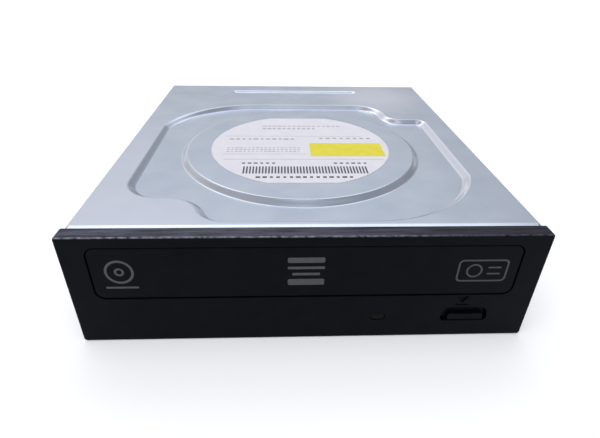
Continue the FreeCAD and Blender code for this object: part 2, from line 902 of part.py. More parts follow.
def make_lamp_window():
    body = new_body("led_lens")
    pipe = new_sketch(body, "lens_pipe", "XZ_Plane", -back(fold_gap), lamp_corners(0, lamp_round * 0.95))
    pad(body, pipe, pipe_back - fold_gap, reverse=True)
    level = back(fold_gap).value
    soften(body, "lens_rounding", pipe_edge, lambda edge, middle: abs(middle.y - level) < 0.01)
    rim = lamp_corners(-collar_wide, collar_round)
    collar = new_sketch(body, "lens_collar", "XZ_Plane", -back(bezel_wall + seat_gap), rim)
    pad(body, collar, collar_long, reverse=True)
    return body


keep("front_bezel", make_bezel())
keep("tray_door", make_door())
keep("eject_button", make_button())
keep("led_lens", make_lamp_window())

# Disc tray: plate with two disc seats, pickup slot, skirts, flanges and rack.
plate_front = size("plate_front", 1)
slot_ahead = size("slot_ahead", 1)
slot_round = size("slot_round", 8)
plate_low = tray_top - tray_plate
tooth_pitch = gear_module * math.pi
drive_pitch = gear_module * drive_teeth / 2
pinion_pitch = gear_module * pinion_teeth / 2
gear_x = drive_pitch - rack_line
gear_y = back(gear_back)
rack_deep = gear_module * 1.25


def rack_tooth(root, tip, thickness):
    """Straight-sided tooth along Y, from the root line to the tip line in X."""
    slope = tangent(20)
    half = thickness / 2
    foot = half + rack_deep * slope
    crown = half - gear_module * slope
    return [(root, -foot), (tip, -crown), (tip, crown), (root, foot)]


def make_rack():
    body = new_body("rack")
    start = gear_back - tooth_pitch * 2
    rack_teeth = whole((tray_rear - rack_end - start) / tooth_pitch) + 1
    long = tooth_pitch * (rack_teeth - 1)
    bar_x = (-tray_half + skirt / 2, -rack_line - rack_deep)
    bar_y = (-tooth_pitch * 0.8, long + tooth_pitch * 0.6)
    bar = new_sketch(body, "rack_bar", "XY_Plane", tray_low, rectangle(bar_x, bar_y))
    height = plate_low - tray_low + bite
    pad(body, bar, height)
    root = -rack_line - rack_deep - tooth_in
    profile = rack_tooth(root, gear_module - rack_line, tooth_pitch / 2 - backlash / 2)
    tooth = pad(body, new_sketch(body, "rack_tooth", "XY_Plane", tray_low, profile), height)
    row = body.newObject("PartDesign::LinearPattern", "rack_row")
    row.Originals = [tooth]
    row.Direction = (plane_of(body, "Y_Axis"), [""])
    bind(row, "Length", long)
    bind(row, "Occurrences", rack_teeth)
    body.Tip = row
    place(body, 0, back(start), 0)
    return body


def make_tray():
    body = new_body("tray_plate")
    plate_y = (back(bezel_wall + plate_front), back(tray_rear))
    plate = rectangle((-tray_half, tray_half), plate_y)
    pad(body, new_sketch(body, "tray_outline", "XY_Plane", plate_low, plate), tray_plate)
    seats = ((disc_radius, tray_top, disc_deep), (small_radius, tray_top - disc_deep, small_deep))
    for number, (radius, height, deep) in enumerate(seats):
        seat = new_sketch(body, f"disc_seat_{number}", "XY_Plane", height)
        ring(seat, 0, spindle_y, radius)
        pocket(body, seat, deep)
    slot_front = spindle_back - slot_half + slot_ahead
    slot = [
        (-slot_half, back(slot_front), slot_half * 0.96),
        (slot_half, back(slot_front), slot_half * 0.96),
        (slot_half, back(slot_rear), slot_round),
        (-slot_half, back(slot_rear), slot_round),
    ]
    pocket(body, new_sketch(body, "pickup_slot", "XY_Plane", tray_top, slot), tray_plate + past)
    solids = [body, make_rack()]
    wall_x = (skirt - tray_half, tray_half - skirt)
    wall_y = (back(bezel_wall), back(bezel_wall + tray_wall))
    solids.append(box("tray_front", wall_x, wall_y, (tray_low, door_high - wall_head)))
    for side in (-1, 1):
        long = (back(bezel_wall + plate_front), back(tray_rear))
        tall = (tray_low, plate_low + bite)
        solids.append(box(f"skirt_{side + 1}", sided(side, tray_half - skirt, tray_half), long, tall))
        flange_x = sided(side, tray_half - bite, tray_half + tray_flange)
        flange_y = (back(chassis_front), back(tray_rear))
        flange_z = (tray_low, tray_low + flange_thick)
        solids.append(box(f"flange_{side + 1}", flange_x, flange_y, flange_z))
    windows = []
    for number, x in enumerate(clip_spots):
        window_x = (x - clip_half - fold_gap, x + clip_half + fold_gap)
        window_y = (back(bezel_wall - past), back(bezel_wall + tray_wall + past))
        window_z = (clip_low - fold_gap, clip_low + clip_thick + clip_barb + fold_gap)
        windows.append(box(f"clip_window_{number}", window_x, window_y, window_z))
    return cut("disc_tray", fuse("tray_moulding", *solids), *windows)


keep("disc_tray", make_tray())

# Loading train.
deck_top = deck_low + deck_thick
wheel_lift = size("wheel_lift", 0.6)
drive_lift = size("drive_lift", 0.4)
wheel_sink = size("wheel_sink", 1.4)
pulley_sink = size("pulley_sink", 1.2)
wheel_low = deck_top + wheel_lift
wheel_thick = size("wheel_thick", 2.6)
pinion_low = wheel_low + wheel_thick
pinion_thick = size("pinion_thick", 3.1)
drive_low = pinion_low + drive_lift
drive_room = size("drive_room", 1.4)
drive_high = plate_low - drive_room
pulley_x = gear_x + drive_pitch + pinion_pitch
belt_low = wheel_low + (wheel_thick - belt_side) / 2
wheel_groove = wheel_radius - wheel_sink
pulley_radius = size("pulley_radius", 3.6)
pulley_groove = pulley_radius - pulley_sink


def involute(angle):
    """Involute of an angle in degrees, also in degrees."""
    return tangent(angle) * (180 / math.pi) - angle


def gear_tooth(teeth):
    """Tooth on the +X axis, with each flank through its base, pitch and tip radius."""
    pitch = gear_module * teeth / 2
    base = pitch * cosine(20)
    root = pitch - gear_module * 1.25
    thin = backlash / 2 / pitch * (180 / math.pi) / 2
    middle = 90 / teeth - thin + involute(as_size(20))
    right = []
    for radius in (base, pitch, pitch + gear_module * 0.55, pitch + gear_module):
        lean = middle - involute(angle_from_cosine(base / radius * 0.999999))
        right.append((radius * cosine(lean), -(radius * sine(lean))))
    wide = middle
    if base.value > root.value:
        right.insert(0, ((root - tooth_in) * cosine(wide), -((root - tooth_in) * sine(wide))))
    left = [(x, -y) for x, y in reversed(right)]
    return right + left


def add_gear(body, teeth, low, high, bore):
    name = body.Name
    root = gear_module * teeth / 2 - gear_module * 1.25
    blank = new_sketch(body, name + "_blank", "XY_Plane", low)
    ring(blank, 0, 0, root)
    ring(blank, 0, 0, bore)
    pad(body, blank, high - low)
    tooth = pad(body, new_sketch(body, name + "_tooth", "XY_Plane", low, gear_tooth(teeth)), high - low)
    circle = body.newObject("PartDesign::PolarPattern", name + "_teeth")
    circle.Originals = [tooth]
    circle.Axis = (plane_of(body, "Z_Axis"), [""])
    circle.Angle = 360
    bind(circle, "Occurrences", teeth)
    body.Tip = circle
    return circle


def grooved_rim(low, thick, rim, groove, bore):
    """Half profile of a belt wheel with a V groove at mid height."""
    middle = low + thick / 2
    flat = belt_side / 2 + run_gap
    return [
        (bore, low),
        (rim, low),
        (groove, middle - flat),
        (groove, middle + flat),
        (rim, low + thick),
        (bore, low + thick),
    ]


def make_drive_gear():
    body = new_body("drive_gear")
    add_gear(body, drive_teeth, drive_low, drive_high, post_radius + run_gap)
    body.Placement = FreeCAD.Placement(Vector(), FreeCAD.Rotation(Vector(0, 0, 1), 1))
    bind(body, "Placement.Rotation.Angle", 180 / drive_teeth)
    place(body, gear_x, gear_y, 0)
    return body


def make_pulley_gear():
    bore = post_radius + run_gap
    wheel = turned("belt_wheel", grooved_rim(wheel_low, wheel_thick, wheel_radius, wheel_groove, bore))
    pinion = new_body("pinion")
    add_gear(pinion, pinion_teeth, pinion_low - bite, pinion_low + pinion_thick, bore)
    thing = fuse("pulley_gear", wheel, pinion)
    place(thing, pulley_x, gear_y, 0)
    return thing


motor_y = back(motor_back)
shaft_radius = size("shaft_radius", 1)
nose_under = size("nose_under", 0.6)
shaft_in = size("shaft_in", 1)
shaft_out = size("shaft_out", 0.6)
motor_screw_gap = size("motor_screw_gap", 7)
motor_head = size("motor_head", 1.8)
motor_head_high = size("motor_head_high", 0.5)
motor_screw_in = size("motor_screw_in", 2)
bore_room = size("bore_room", 0.2)
nose_radius = shaft_radius * 3
motor_screw_xs = (motor_x - motor_screw_gap, motor_x + motor_screw_gap)


def make_motor_pulley():
    profile = grooved_rim(wheel_low, wheel_thick, pulley_radius, pulley_groove, shaft_radius)
    return turned("motor_pulley", profile, motor_x, motor_y)


def make_motor_shaft():
    span = (deck_low - shaft_in, wheel_low + wheel_thick + shaft_out)
    return cylinder("motor_shaft", shaft_radius, "Z", (motor_x, motor_y), span)


def make_loading_motor():
    spot = (motor_x, motor_y)
    top = deck_low - seat_gap
    can = cylinder("motor_can", motor_radius, "Z", spot, (top - motor_high, top))
    flat = motor_radius * 0.84
    reach = motor_radius + past
    flats_y = (motor_y - flat, motor_y + flat)
    trim = box("motor_flats", (motor_x - reach, motor_x + reach), flats_y, (top - motor_high, top))
    body = doc.addObject("Part::Common", "motor_trimmed")
    body.Base = can
    body.Tool = trim
    nose = cylinder("motor_nose", nose_radius, "Z", spot, (top - bite, deck_top - nose_under))
    bore_z = (deck_low - shaft_in - seat_gap, deck_top)
    bore = cylinder("motor_bore", shaft_radius + run_gap, "Z", spot, bore_z)
    bores = [bore]
    for number, x in enumerate(motor_screw_xs):
        span = (deck_low - motor_screw_in - bore_room, deck_low + past)
        bores.append(cylinder(f"motor_tap_{number}", small_screw + run_gap, "Z", (x, motor_y), span))
    return cut("loading_motor", fuse("motor_body", body, nose), *bores)


def belt_path(sketch, big, small):
    """Two arcs joined by two straight runs around both pulleys."""
    start = Vector(pulley_x.value, gear_y.value, 0)
    stop = Vector(motor_x.value, motor_y.value, 0)
    along = stop - start
    lean = math.acos((big.value - small.value) / along.Length)
    heading = math.atan2(along.y, along.x)
    ends = []
    for turn in (lean, -lean):
        way = Vector(math.cos(heading + turn), math.sin(heading + turn), 0)
        ends.append((start + way * big.value, stop + way * small.value))
    up = Vector(0, 0, 1)
    wrap = Part.ArcOfCircle(Part.Circle(start, up, big.value), heading + lean, heading - lean + 2 * math.pi)
    nip = Part.ArcOfCircle(Part.Circle(stop, up, small.value), heading - lean, heading + lean)
    first = sketch.addGeometry(wrap, False)
    lower = sketch.addGeometry(Part.LineSegment(*ends[1]), False)
    last = sketch.addGeometry(nip, False)
    upper = sketch.addGeometry(Part.LineSegment(ends[0][1], ends[0][0]), False)
    joints = ((first, 2, lower, 1), (lower, 2, last, 1), (last, 2, upper, 1), (upper, 2, first, 1))
    for joint in joints:
        sketch.addConstraint(Sketcher.Constraint("Tangent", *joint))
    for arc, x, y, radius in ((first, pulley_x, gear_y, big), (last, motor_x, motor_y, small)):
        datum(sketch, "DistanceX", (-1, 1, arc, 3), x)
        datum(sketch, "DistanceY", (-1, 1, arc, 3), y)
        datum(sketch, "Radius", (arc,), radius)


def make_belt():
    body = new_body("drive_belt")
    loop = new_sketch(body, "belt_loop", "XY_Plane", belt_low)
    for gap in (run_gap, run_gap + belt_side):
        belt_path(loop, wheel_groove + gap, pulley_groove + gap)
    pad(body, loop, belt_side)
    return body


keep("drive_gear", make_drive_gear())
keep("pulley_gear", make_pulley_gear())
keep("motor_pulley", make_motor_pulley())
keep("motor_shaft", make_motor_shaft())
keep("loading_motor", make_loading_motor())
keep("drive_belt", make_belt())

# Plastic chassis that carries the tray, the gears and the traverse.
wall_outer = wall_inner + wall_thick
rail_low = size("rail_low", 4)
rib_thick = size("rib_thick", 1.6)
deck_front = size("deck_front", 8)
beam_thick = size("beam_thick", 2)
beam_low = size("beam_low", 2.2)
ledge_deep = size("ledge_deep", 3.5)
rear_beam_long = size("rear_beam_long", 2.4)
rear_beam_front = tray_rear - rear_beam_long
rear_beam_low = size("rear_beam_low", 12.2)
rear_beam_high = size("rear_beam_high", 15.5)
lug_gap = size("lug_gap", 2.5)
lug_wide = size("lug_wide", 4)
lug_ahead = size("lug_ahead", 3.5)
lug_cap = size("lug_cap", 1.2)
lug_inner = lift_half + lug_gap
lug_outer = lug_inner + lug_wide
bridge_pad_long = size("bridge_pad_long", 6)
bridge_pad_gap = size("bridge_pad_gap", 12)
bridge_pad_high = size("bridge_pad_high", 6)
bridge_pad_over = size("bridge_pad_over", 2)
bridge_screw_in = size("bridge_screw_in", 4.8)
bridge_bore_room = size("bridge_bore_room", 0.4)
ledge_half = size("ledge_half", 46)
ledge_thick = size("ledge_thick", 0.8)
keeper_in = size("keeper_in", 2)
keeper_wide = size("keeper_wide", 3)
keeper_out = size("keeper_out", 0.6)
keeper_high = size("keeper_high", 2)
rail_lap = size("rail_lap", 0.4)
post_over = size("post_over", 0.3)
thrust_rim = size("thrust_rim", 1.2)
board_post = size("board_post", 2.2)
post_skin = size("post_skin", 0.6)
screw_room = size("screw_room", 0.5)
bridge_pad_middle = spindle_back - bridge_pad_long / 2
bridge_pads = (bridge_pad_middle - bridge_pad_gap, bridge_pad_middle + bridge_pad_gap)
bridge_screw_x = wall_inner + wall_thick / 2
front_board_top = front_board_low + front_board_thick
post_left = size("post_left", 4)
post_right = size("post_right", 3.6)
post_front = size("post_front", 12)
post_rear = size("post_rear", 23.6)
front_posts = ((front_board_left + post_left, post_front), (front_board_right - post_right, post_rear))


def rail_profile(side):
    """Side wall with the lower and upper rib that hold the tray flange between them."""
    flange_top = tray_low + flange_thick
    upper_low = flange_top + slide_gap
    lower_top = tray_low - slide_gap
    upper_in = tray_half + slide_gap
    lower_in = tray_half - rail_lap
    corners = [
        (wall_outer, rail_low),
        (wall_outer, wall_top),
        (wall_inner, wall_top),
        (wall_inner, upper_low + rib_thick),
        (upper_in, upper_low + rib_thick),
        (upper_in, upper_low),
        (wall_inner, upper_low),
        (wall_inner, lower_top),
        (lower_in, lower_top),
        (lower_in, lower_top - rib_thick),
        (wall_inner, lower_top - rib_thick),
        (wall_inner, rail_low),
    ]
    return [(side * x, z) for x, z in corners]


def make_chassis():
    body = new_body("chassis_shell")
    deck = rectangle((-wall_outer, wall_outer), (back(deck_front), back(deck_rear)))
    pad(body, new_sketch(body, "deck", "XY_Plane", deck_low, deck), deck_thick)
    for side in (-1, 1):
        name = f"rail_{side + 1}"
        rail = new_sketch(body, name, "XZ_Plane", -back(chassis_front), rail_profile(side))
        pad(body, rail, tray_rear - chassis_front, reverse=True)
    span = (-wall_inner - bite, wall_inner + bite)
    beam_y = (back(deck_rear - beam_thick), back(deck_rear))
    solids = [body, box("front_beam", span, beam_y, (beam_low - ledge_thick / 2, deck_low + bite))]
    ledge_y = (back(deck_rear - beam_thick), back(deck_rear + ledge_deep))
    ledge_z = (beam_low - ledge_thick, beam_low)
    solids.append(box("slider_ledge", (-ledge_half, ledge_half), ledge_y, ledge_z))
    keeper_front = slider_front + slider_thick + slide_gap
    keeper_y = (back(keeper_front), back(deck_rear + ledge_deep + keeper_out))
    keeper_z = (beam_low - ledge_thick, beam_low + keeper_high)
    for number, x in enumerate((keeper_in - ledge_half, ledge_half - keeper_wide)):
        solids.append(box(f"slider_keeper_{number}", (x, x + keeper_wide), keeper_y, keeper_z))
    rear_y = (back(rear_beam_front), back(tray_rear))
    solids.append(box("rear_beam", span, rear_y, (rear_beam_low, rear_beam_high)))
    holes = []
    for side in (-1, 1):
        lug_x = sided(side, lug_inner, lug_outer)
        lug_y = (back(pivot_back - lug_ahead), back(tray_rear))
        lug_z = (rear_beam_low, pivot_z + pivot_radius + lug_cap)
        solids.append(box(f"lug_{side + 1}", lug_x, lug_y, lug_z))
        bearing = sided(side, lug_inner - past, lug_outer + past)
        spot = (back(pivot_back), pivot_z)
        holes.append(cylinder(f"lug_bore_{side + 1}", pivot_radius + run_gap, "X", spot, bearing))
    tops = (deck_low + bite, deck_low + bite, rear_beam_low + bite, rear_beam_low + bite)
    for number, spot in enumerate(spots_of(boss_x, boss_rows)):
        solids.append(cylinder(f"boss_{number}", boss_radius, "Z", spot, (steel, tops[number])))
        bore = (0, screw_long + screw_room)
        holes.append(cylinder(f"boss_bore_{number}", case_screw + seat_gap, "Z", spot, bore))
    for number, (start, side) in enumerate([(d, s) for d in bridge_pads for s in (-1, 1)]):
        pad_x = sided(side, wall_inner - bridge_pad_over, wall_outer + bridge_pad_over)
        pad_y = (back(start), back(start + bridge_pad_long))
        solids.append(box(f"bridge_pad_{number}", pad_x, pad_y, (wall_top - bridge_pad_high, wall_top)))
        spot = (side * bridge_screw_x, back(start + bridge_pad_long / 2))
        bore = (wall_top - bridge_screw_in - bridge_bore_room, wall_top + past)
        holes.append(cylinder(f"bridge_bore_{number}", small_screw + run_gap, "Z", spot, bore))
    gear_post = (deck_low + bite, drive_high + post_over)
    solids.append(cylinder("gear_post", post_radius, "Z", (gear_x, gear_y), gear_post))
    pulley_post = (deck_low + bite, pinion_low + pinion_thick + post_over)
    solids.append(cylinder("pulley_post", post_radius, "Z", (pulley_x, gear_y), pulley_post))
    thrust = (deck_top - bite, drive_low - seat_gap)
    solids.append(cylinder("gear_thrust", post_radius + thrust_rim, "Z", (gear_x, gear_y), thrust))
    wheel_thrust = (deck_top - bite, wheel_low - seat_gap)
    solids.append(cylinder("wheel_thrust", post_radius + thrust_rim, "Z", (pulley_x, gear_y), wheel_thrust))
    for number, (x, distance) in enumerate(front_posts):
        spot = (x, back(distance))
        post_z = (front_board_top, deck_low + bite)
        solids.append(cylinder(f"board_post_{number}", board_post, "Z", spot, post_z))
        bore = (front_board_top - past, deck_low - post_skin)
        holes.append(cylinder(f"board_post_bore_{number}", small_screw + run_gap, "Z", spot, bore))
    through = (deck_low - past, deck_top + past)
    holes.append(cylinder("nose_hole", nose_radius + fold_gap, "Z", (motor_x, motor_y), through))
    for number, x in enumerate(motor_screw_xs):
        name = f"motor_screw_hole_{number}"
        holes.append(cylinder(name, small_screw + run_gap, "Z", (x, motor_y), through))
    return cut("chassis", fuse("chassis_moulding", *solids), *holes)


def screw_set(name, spots, head, head_high, shank_low, face):
    """Pan-head screws whose heads sit on a face and whose shanks go down."""
    screws = []
    for number, spot in enumerate(spots):
        top = cylinder(f"{name}_head_{number}", head, "Z", spot, (face, face + head_high))
        shank = cylinder(f"{name}_shank_{number}", small_screw, "Z", spot, (shank_low, face))
        screws.append(fuse(f"{name}_{number}", top, shank))
    return group(name, *screws)


cam_low_z = pivot_z - cam_drop
cam_low_z = cam_low_z + (cam_pin_z - pivot_z) * cosine(lower_angle)
slider_low = beam_low + slide_gap
slider_room = size("slider_room", 0.9)
slider_high = tray_low - slider_room
slider_left = size("slider_left", 24)
arm_thick = size("arm_thick", 2.6)
arm_lap = size("arm_lap", 1.5)
slider_end = size("slider_end", 6)
slider_round = size("slider_round", 1.2)
rack_off = size("rack_off", 0.1)
arm_left = size("arm_left", 42)


def cam_slot(x):
    """Sloped slot from the low pin place to the high one, with round ends."""
    lean = angle_of(cam_pin_z - cam_low_z, cam_travel)
    half = cam_pin_radius + slide_gap
    run_x = cosine(lean) * half
    run_z = sine(lean) * half
    high_x = x + cam_travel
    return [
        (x - run_x + run_z, cam_low_z - run_z - run_x, half * 0.97),
        (high_x + run_x + run_z, cam_pin_z + run_z - run_x, half * 0.97),
        (high_x + run_x - run_z, cam_pin_z + run_z + run_x, half * 0.97),
        (x - run_x - run_z, cam_low_z - run_z + run_x, half * 0.97),
    ]


def make_cam_slider():
    body = new_body("cam_plate")
    edge = cam_pin_x + cam_travel + slider_end
    plate = rectangle((-slider_left, edge), (slider_low, slider_high), slider_round)
    slots = (cam_slot(-cam_pin_x), cam_slot(cam_pin_x))
    face = new_sketch(body, "cam_face", "XZ_Plane", -back(slider_front), plate, *slots)
    pad(body, face, slider_thick, reverse=True)
    teeth_front = gear_back + drive_pitch + gear_module + slide_gap + rack_off
    bar_y = (back(teeth_front + gear_module * 2.2), back(slider_front + slider_thick))
    arm_z = (slider_high - arm_thick, slider_high)
    solids = [body, box("cam_arm", (-arm_left, arm_lap - slider_left), bar_y, arm_z)]
    rack_body = new_body("cam_rack")
    foot = tooth_pitch / 4 + rack_deep * tangent(20)
    crown = tooth_pitch / 4 - gear_module * tangent(20)
    root_y = back(teeth_front + gear_module * 2.25)
    tip_y = back(teeth_front)
    profile = [(-foot, root_y + tooth_in), (-crown, tip_y), (crown, tip_y), (foot, root_y + tooth_in)]
    tooth = pad(rack_body, new_sketch(rack_body, "cam_tooth", "XY_Plane", arm_z[0], profile), arm_thick)
    row = rack_body.newObject("PartDesign::LinearPattern", "cam_teeth")
    row.Originals = [tooth]
    row.Direction = (plane_of(rack_body, "X_Axis"), [""])
    bind(row, "Length", tooth_pitch * 4)
    row.Occurrences = 5
    rack_body.Tip = row
    bind(rack_body, "Placement.Base.x", foot - arm_left)
    solids.append(rack_body)
    return fuse("cam_slider", *solids)


keep("chassis", make_chassis())
keep("cam_slider", make_cam_slider())

# Traverse: lift frame, dampers and pickup base, all drawn level.
bush_flange = size("bush_flange", 1)
block_half = size("block_half", 3)
block_cap = size("block_cap", 1)
lift_wall_thick = size("lift_wall_thick", 2)
lift_wall_high = size("lift_wall_high", 3.5)
lift_cross = size("lift_cross", 4)
lift_round = size("lift_round", 3)
seat_radius = size("seat_radius", 4.4)
trunnion_in = size("trunnion_in", 0.3)
pin_in = size("pin_in", 0.3)
base_low = lift_low + lift_thick + bush_flange
base_top = base_low + base_thick
rod_z = base_top + rod_up
damper_spots = spots_of(damper_x, (damper_front, damper_rear))
lift_top = lift_low + lift_thick
lift_end = size("lift_end", 6)
lift_rear = pivot_back - lift_end
lift_inner = lift_half - lift_rail


def make_lift_frame():
    body = new_body("lift_ring")
    ends = back(pivot_back + block_half)
    outer = [
        (-lift_half, back(lift_front)),
        (lift_half, back(lift_front)),
        (lift_half, ends),
        (lift_inner, ends),
        (lift_inner, back(lift_rear)),
        (-lift_inner, back(lift_rear)),
        (-lift_inner, ends),
        (-lift_half, ends),
    ]
    inner_y = (back(lift_front + lift_wall_thick), back(lift_rear - lift_cross))
    inner = rectangle((-lift_inner, lift_inner), inner_y, lift_round)
    pad(body, new_sketch(body, "lift_outline", "XY_Plane", lift_low, outer, inner), lift_thick)
    wall_y = (back(lift_front), back(lift_front + lift_wall_thick))
    wall_z = (lift_low + bite, lift_top + lift_wall_high)
    solids = [body, box("lift_wall", (-lift_half, lift_half), wall_y, wall_z)]
    holes = []
    for number, spot in enumerate(damper_spots):
        seat_z = (lift_low, lift_top)
        solids.append(cylinder(f"damper_seat_{number}", seat_radius, "Z", spot, seat_z))
        bore = (lift_low - past, lift_top + past)
        holes.append(cylinder(f"damper_bore_{number}", small_screw + run_gap, "Z", spot, bore))
    for side in (-1, 1):
        block_y = (back(pivot_back - block_half), ends)
        block_z = (lift_low, pivot_z + pivot_radius + block_cap)
        solids.append(box(f"pivot_block_{side + 1}", sided(side, lift_inner, lift_half), block_y, block_z))
        reach = sided(side, lift_half - past, lug_outer - trunnion_in)
        spot = (back(pivot_back), pivot_z)
        solids.append(cylinder(f"trunnion_{side + 1}", pivot_radius, "X", spot, reach))
        pin_y = (back(slider_front + pin_in), back(lift_front + lift_wall_thick / 2))
        pin_spot = (side * cam_pin_x, cam_pin_z)
        solids.append(cylinder(f"cam_pin_{side + 1}", cam_pin_radius, "Y", pin_spot, pin_y))
    return cut("lift_cut", fuse("lift_moulding", *solids), *holes)


bush_radius = size("bush_radius", 4)
bush_slack = size("bush_slack", 0.4)
bush_neck = size("bush_neck", 2.9)


def make_dampers():
    bushes = []
    bore = small_screw + bush_slack
    for number, (x, y) in enumerate(damper_spots):
        profile = [
            (bore, lift_top),
            (bush_radius, lift_top),
            (bush_radius, base_low),
            (bush_neck, base_low),
            (bush_neck, base_top),
            (bush_radius, base_top),
            (bush_radius, base_top + bush_flange),
            (bore, base_top + bush_flange),
        ]
        bushes.append(turned(f"bush_{number}", profile, x, y))
    return group("bushes", *bushes)


base_half = size("base_half", 38)
base_ahead = size("base_ahead", 16.4)
base_front = spindle_back - base_ahead
base_end = size("base_end", 9)
base_rear = pivot_back - base_end
window_half = size("window_half", 24)
window_front = size("window_front", 2)
window_rear = size("window_rear", 1.7)
window_round = size("window_round", 3)
feed_reach = size("feed_reach", 22.5)
feed_back = pivot_back - feed_reach
feed_radius = size("feed_radius", 4.8)
feed_long = size("feed_long", 13.5)
rod_gap = size("rod_gap", 11.5)
rod_front = spindle_back + rod_gap
rod_end = size("rod_end", 12)
rod_ends = (rod_front, pivot_back - rod_end)
base_round = size("base_round", 4)
spindle_hole = size("spindle_hole", 11)
base_ear = size("base_ear", 5.2)
pillar_half = size("pillar_half", 3)
pillar_cap = size("pillar_cap", 0.8)
rod_fit = size("rod_fit", 0.02)
notch_in = size("notch_in", 0.2)
notch_room = size("notch_room", 0.5)
notch_over = size("notch_over", 0.6)
feed_cap_long = size("feed_cap_long", 1)
pillar_long = size("pillar_long", 3)


def make_pickup_base():
    body = new_body("base_plate")
    plate = rectangle((-base_half, base_half), (back(base_front), back(base_rear)), base_round)
    window_y = (back(rod_front + window_front), back(base_rear - window_rear))
    window = rectangle((-window_half, window_half), window_y, window_round)
    sketch = new_sketch(body, "base_outline", "XY_Plane", base_low, plate, window)
    ring(sketch, 0, spindle_y, spindle_hole)
    pad(body, sketch, base_thick)
    solids = [body]
    holes = []
    for number, spot in enumerate(damper_spots):
        span = (base_low, base_top)
        solids.append(cylinder(f"base_ear_{number}", base_ear, "Z", spot, span))
        hole = (base_low - past, base_top + past)
        holes.append(cylinder(f"base_ear_hole_{number}", bush_neck + fold_gap, "Z", spot, hole))
    for side in (-1, 1):
        for number, start in enumerate(rod_ends):
            pillar_x = (side * rod_x - pillar_half, side * rod_x + pillar_half)
            pillar_y = (back(start), back(start + pillar_long))
            name = f"rod_pillar_{side + 1}_{number}"
            pillar_z = (base_top - bite, rod_z + rod_radius + pillar_cap)
            solids.append(box(name, pillar_x, pillar_y, pillar_z))
        bore = (back(rod_ends[0] - past), back(rod_ends[1] + pillar_long + past))
        spot = (side * rod_x, rod_z)
        holes.append(cylinder(f"rod_bore_{side + 1}", rod_radius + rod_fit, "Y", spot, bore))
    notch_x = (screw_x - feed_radius + notch_in, base_half + past)
    notch_y = (back(feed_back - notch_room), back(feed_back + feed_long + feed_cap_long))
    holes.append(box("feed_notch", notch_x, notch_y, (base_low - past, base_top + notch_over)))
    return cut("base_cut", fuse("base_formed", *solids), *holes)


def make_guide_rods():
    rods = []
    for side in (-1, 1):
        span = (back(rod_ends[0]), back(rod_ends[1] + pillar_long))
        rods.append(cylinder(f"guide_rod_{side + 1}", rod_radius, "Y", (side * rod_x, rod_z), span))
    return group("rods", *rods)


damper_head_high = size("damper_head_high", 1.3)
damper_tip = size("damper_tip", 0.2)


def make_damper_screws():
    face = base_top + bush_flange
    tip = lift_low + damper_tip
    return screw_set("damper_screw", damper_spots, bush_neck, damper_head_high, tip, face)


bracket_gap = size("bracket_gap", 0.2)
bracket_over = size("bracket_over", 2.2)
bracket_high = size("bracket_high", 3.2)
terminal_wide = size("terminal_wide", 3.4)
terminal_in = size("terminal_in", 4)
terminal_long = size("terminal_long", 6)
terminal_low = size("terminal_low", 1.5)
terminal_high = size("terminal_high", 3)
screw_end = size("screw_end", 0.1)
bracket_ahead = size("bracket_ahead", 2)
bracket_front = rod_front - bracket_ahead
bracket_thick = size("bracket_thick", 0.8)


def make_feed_bracket():
    strip_x = (rod_x + pillar_half + bracket_gap, screw_x + bracket_over)
    strip_y = (back(bracket_front), back(feed_back))
    strip = box("bracket_strip", strip_x, strip_y, (base_top, base_top + bracket_thick))
    tall = (base_top, rod_z + bracket_high)
    ends = []
    bores = []
    for number, start in enumerate((bracket_front, feed_back - bracket_thick * 1.5)):
        y = (back(start), back(start + bracket_thick * 1.5))
        ends.append(box(f"bracket_end_{number}", strip_x, y, tall))
    span = (back(bracket_front - past), back(feed_back + past))
    bores.append(cylinder("bracket_bore", screw_radius + run_gap, "Y", (screw_x, rod_z), span))
    return cut("bracket_cut", fuse("bracket_folded", strip, *ends), *bores)


def make_feed_motor():
    span = (back(feed_back), back(feed_back + feed_long))
    can = cylinder("feed_can", feed_radius, "Y", (screw_x, rod_z), span)
    feed_end = feed_back + feed_long
    tail = (back(feed_end - bite), back(feed_end + feed_cap_long))
    cap = cylinder("feed_cap", feed_radius * 0.5, "Y", (screw_x, rod_z), tail)
    block_x = (screw_x + feed_radius * 0.5, screw_x + feed_radius * 0.5 + terminal_wide)
    block_y = (back(feed_back + terminal_in), back(feed_back + terminal_in + terminal_long))
    terminals = box("feed_terminals", block_x, block_y, (rod_z - terminal_low, rod_z + terminal_high))
    return fuse("feed_body", can, cap, terminals)


def make_lead_screw():
    span = (back(bracket_front + screw_end), back(feed_back - fold_gap))
    return cylinder("lead_rod", screw_radius, "Y", (screw_x, rod_z), span)


lowered("lift_frame", make_lift_frame())
lowered("damper_bushes", make_dampers())
lowered("damper_screws", make_damper_screws())
lowered("pickup_base", make_pickup_base())
lowered("guide_rods", make_guide_rods())
lowered("feed_bracket", make_feed_bracket())
lowered("feed_motor", make_feed_motor())
lowered("lead_screw", make_lead_screw())

# Spindle: stator on the base, rotor, turntable, mat, magnet and centring cone.
stator_plate = size("stator_plate", 1)
rotor_gap = size("rotor_gap", 0.8)
stator_front = size("stator_front", 15)
stator_rear = size("stator_rear", 11.2)
stator_half = size("stator_half", 17)
stator_round = size("stator_round", 3)
bearing_tube = size("bearing_tube", 4)
coil_gap = size("coil_gap", 0.6)
coil_side = size("coil_side", 1)
coil_top = size("coil_top", 1.2)
shaft_foot = size("shaft_foot", 0.2)
magnet_seat = size("magnet_seat", 1.4)
table_in = size("table_in", 0.4)
table_cone = size("table_cone", 1.2)
magnet_bore = size("magnet_bore", 3)
magnet_fit = size("magnet_fit", 0.05)
mat_in = size("mat_in", 5)
mat_out = size("mat_out", 0.6)
cone_taper = size("cone_taper", 2.4)
rotor_low = base_top + stator_plate + rotor_gap
rotor_high = size("rotor_high", 26.2)
can_wall = size("can_wall", 0.8)
table_top = size("table_top", 29.2)
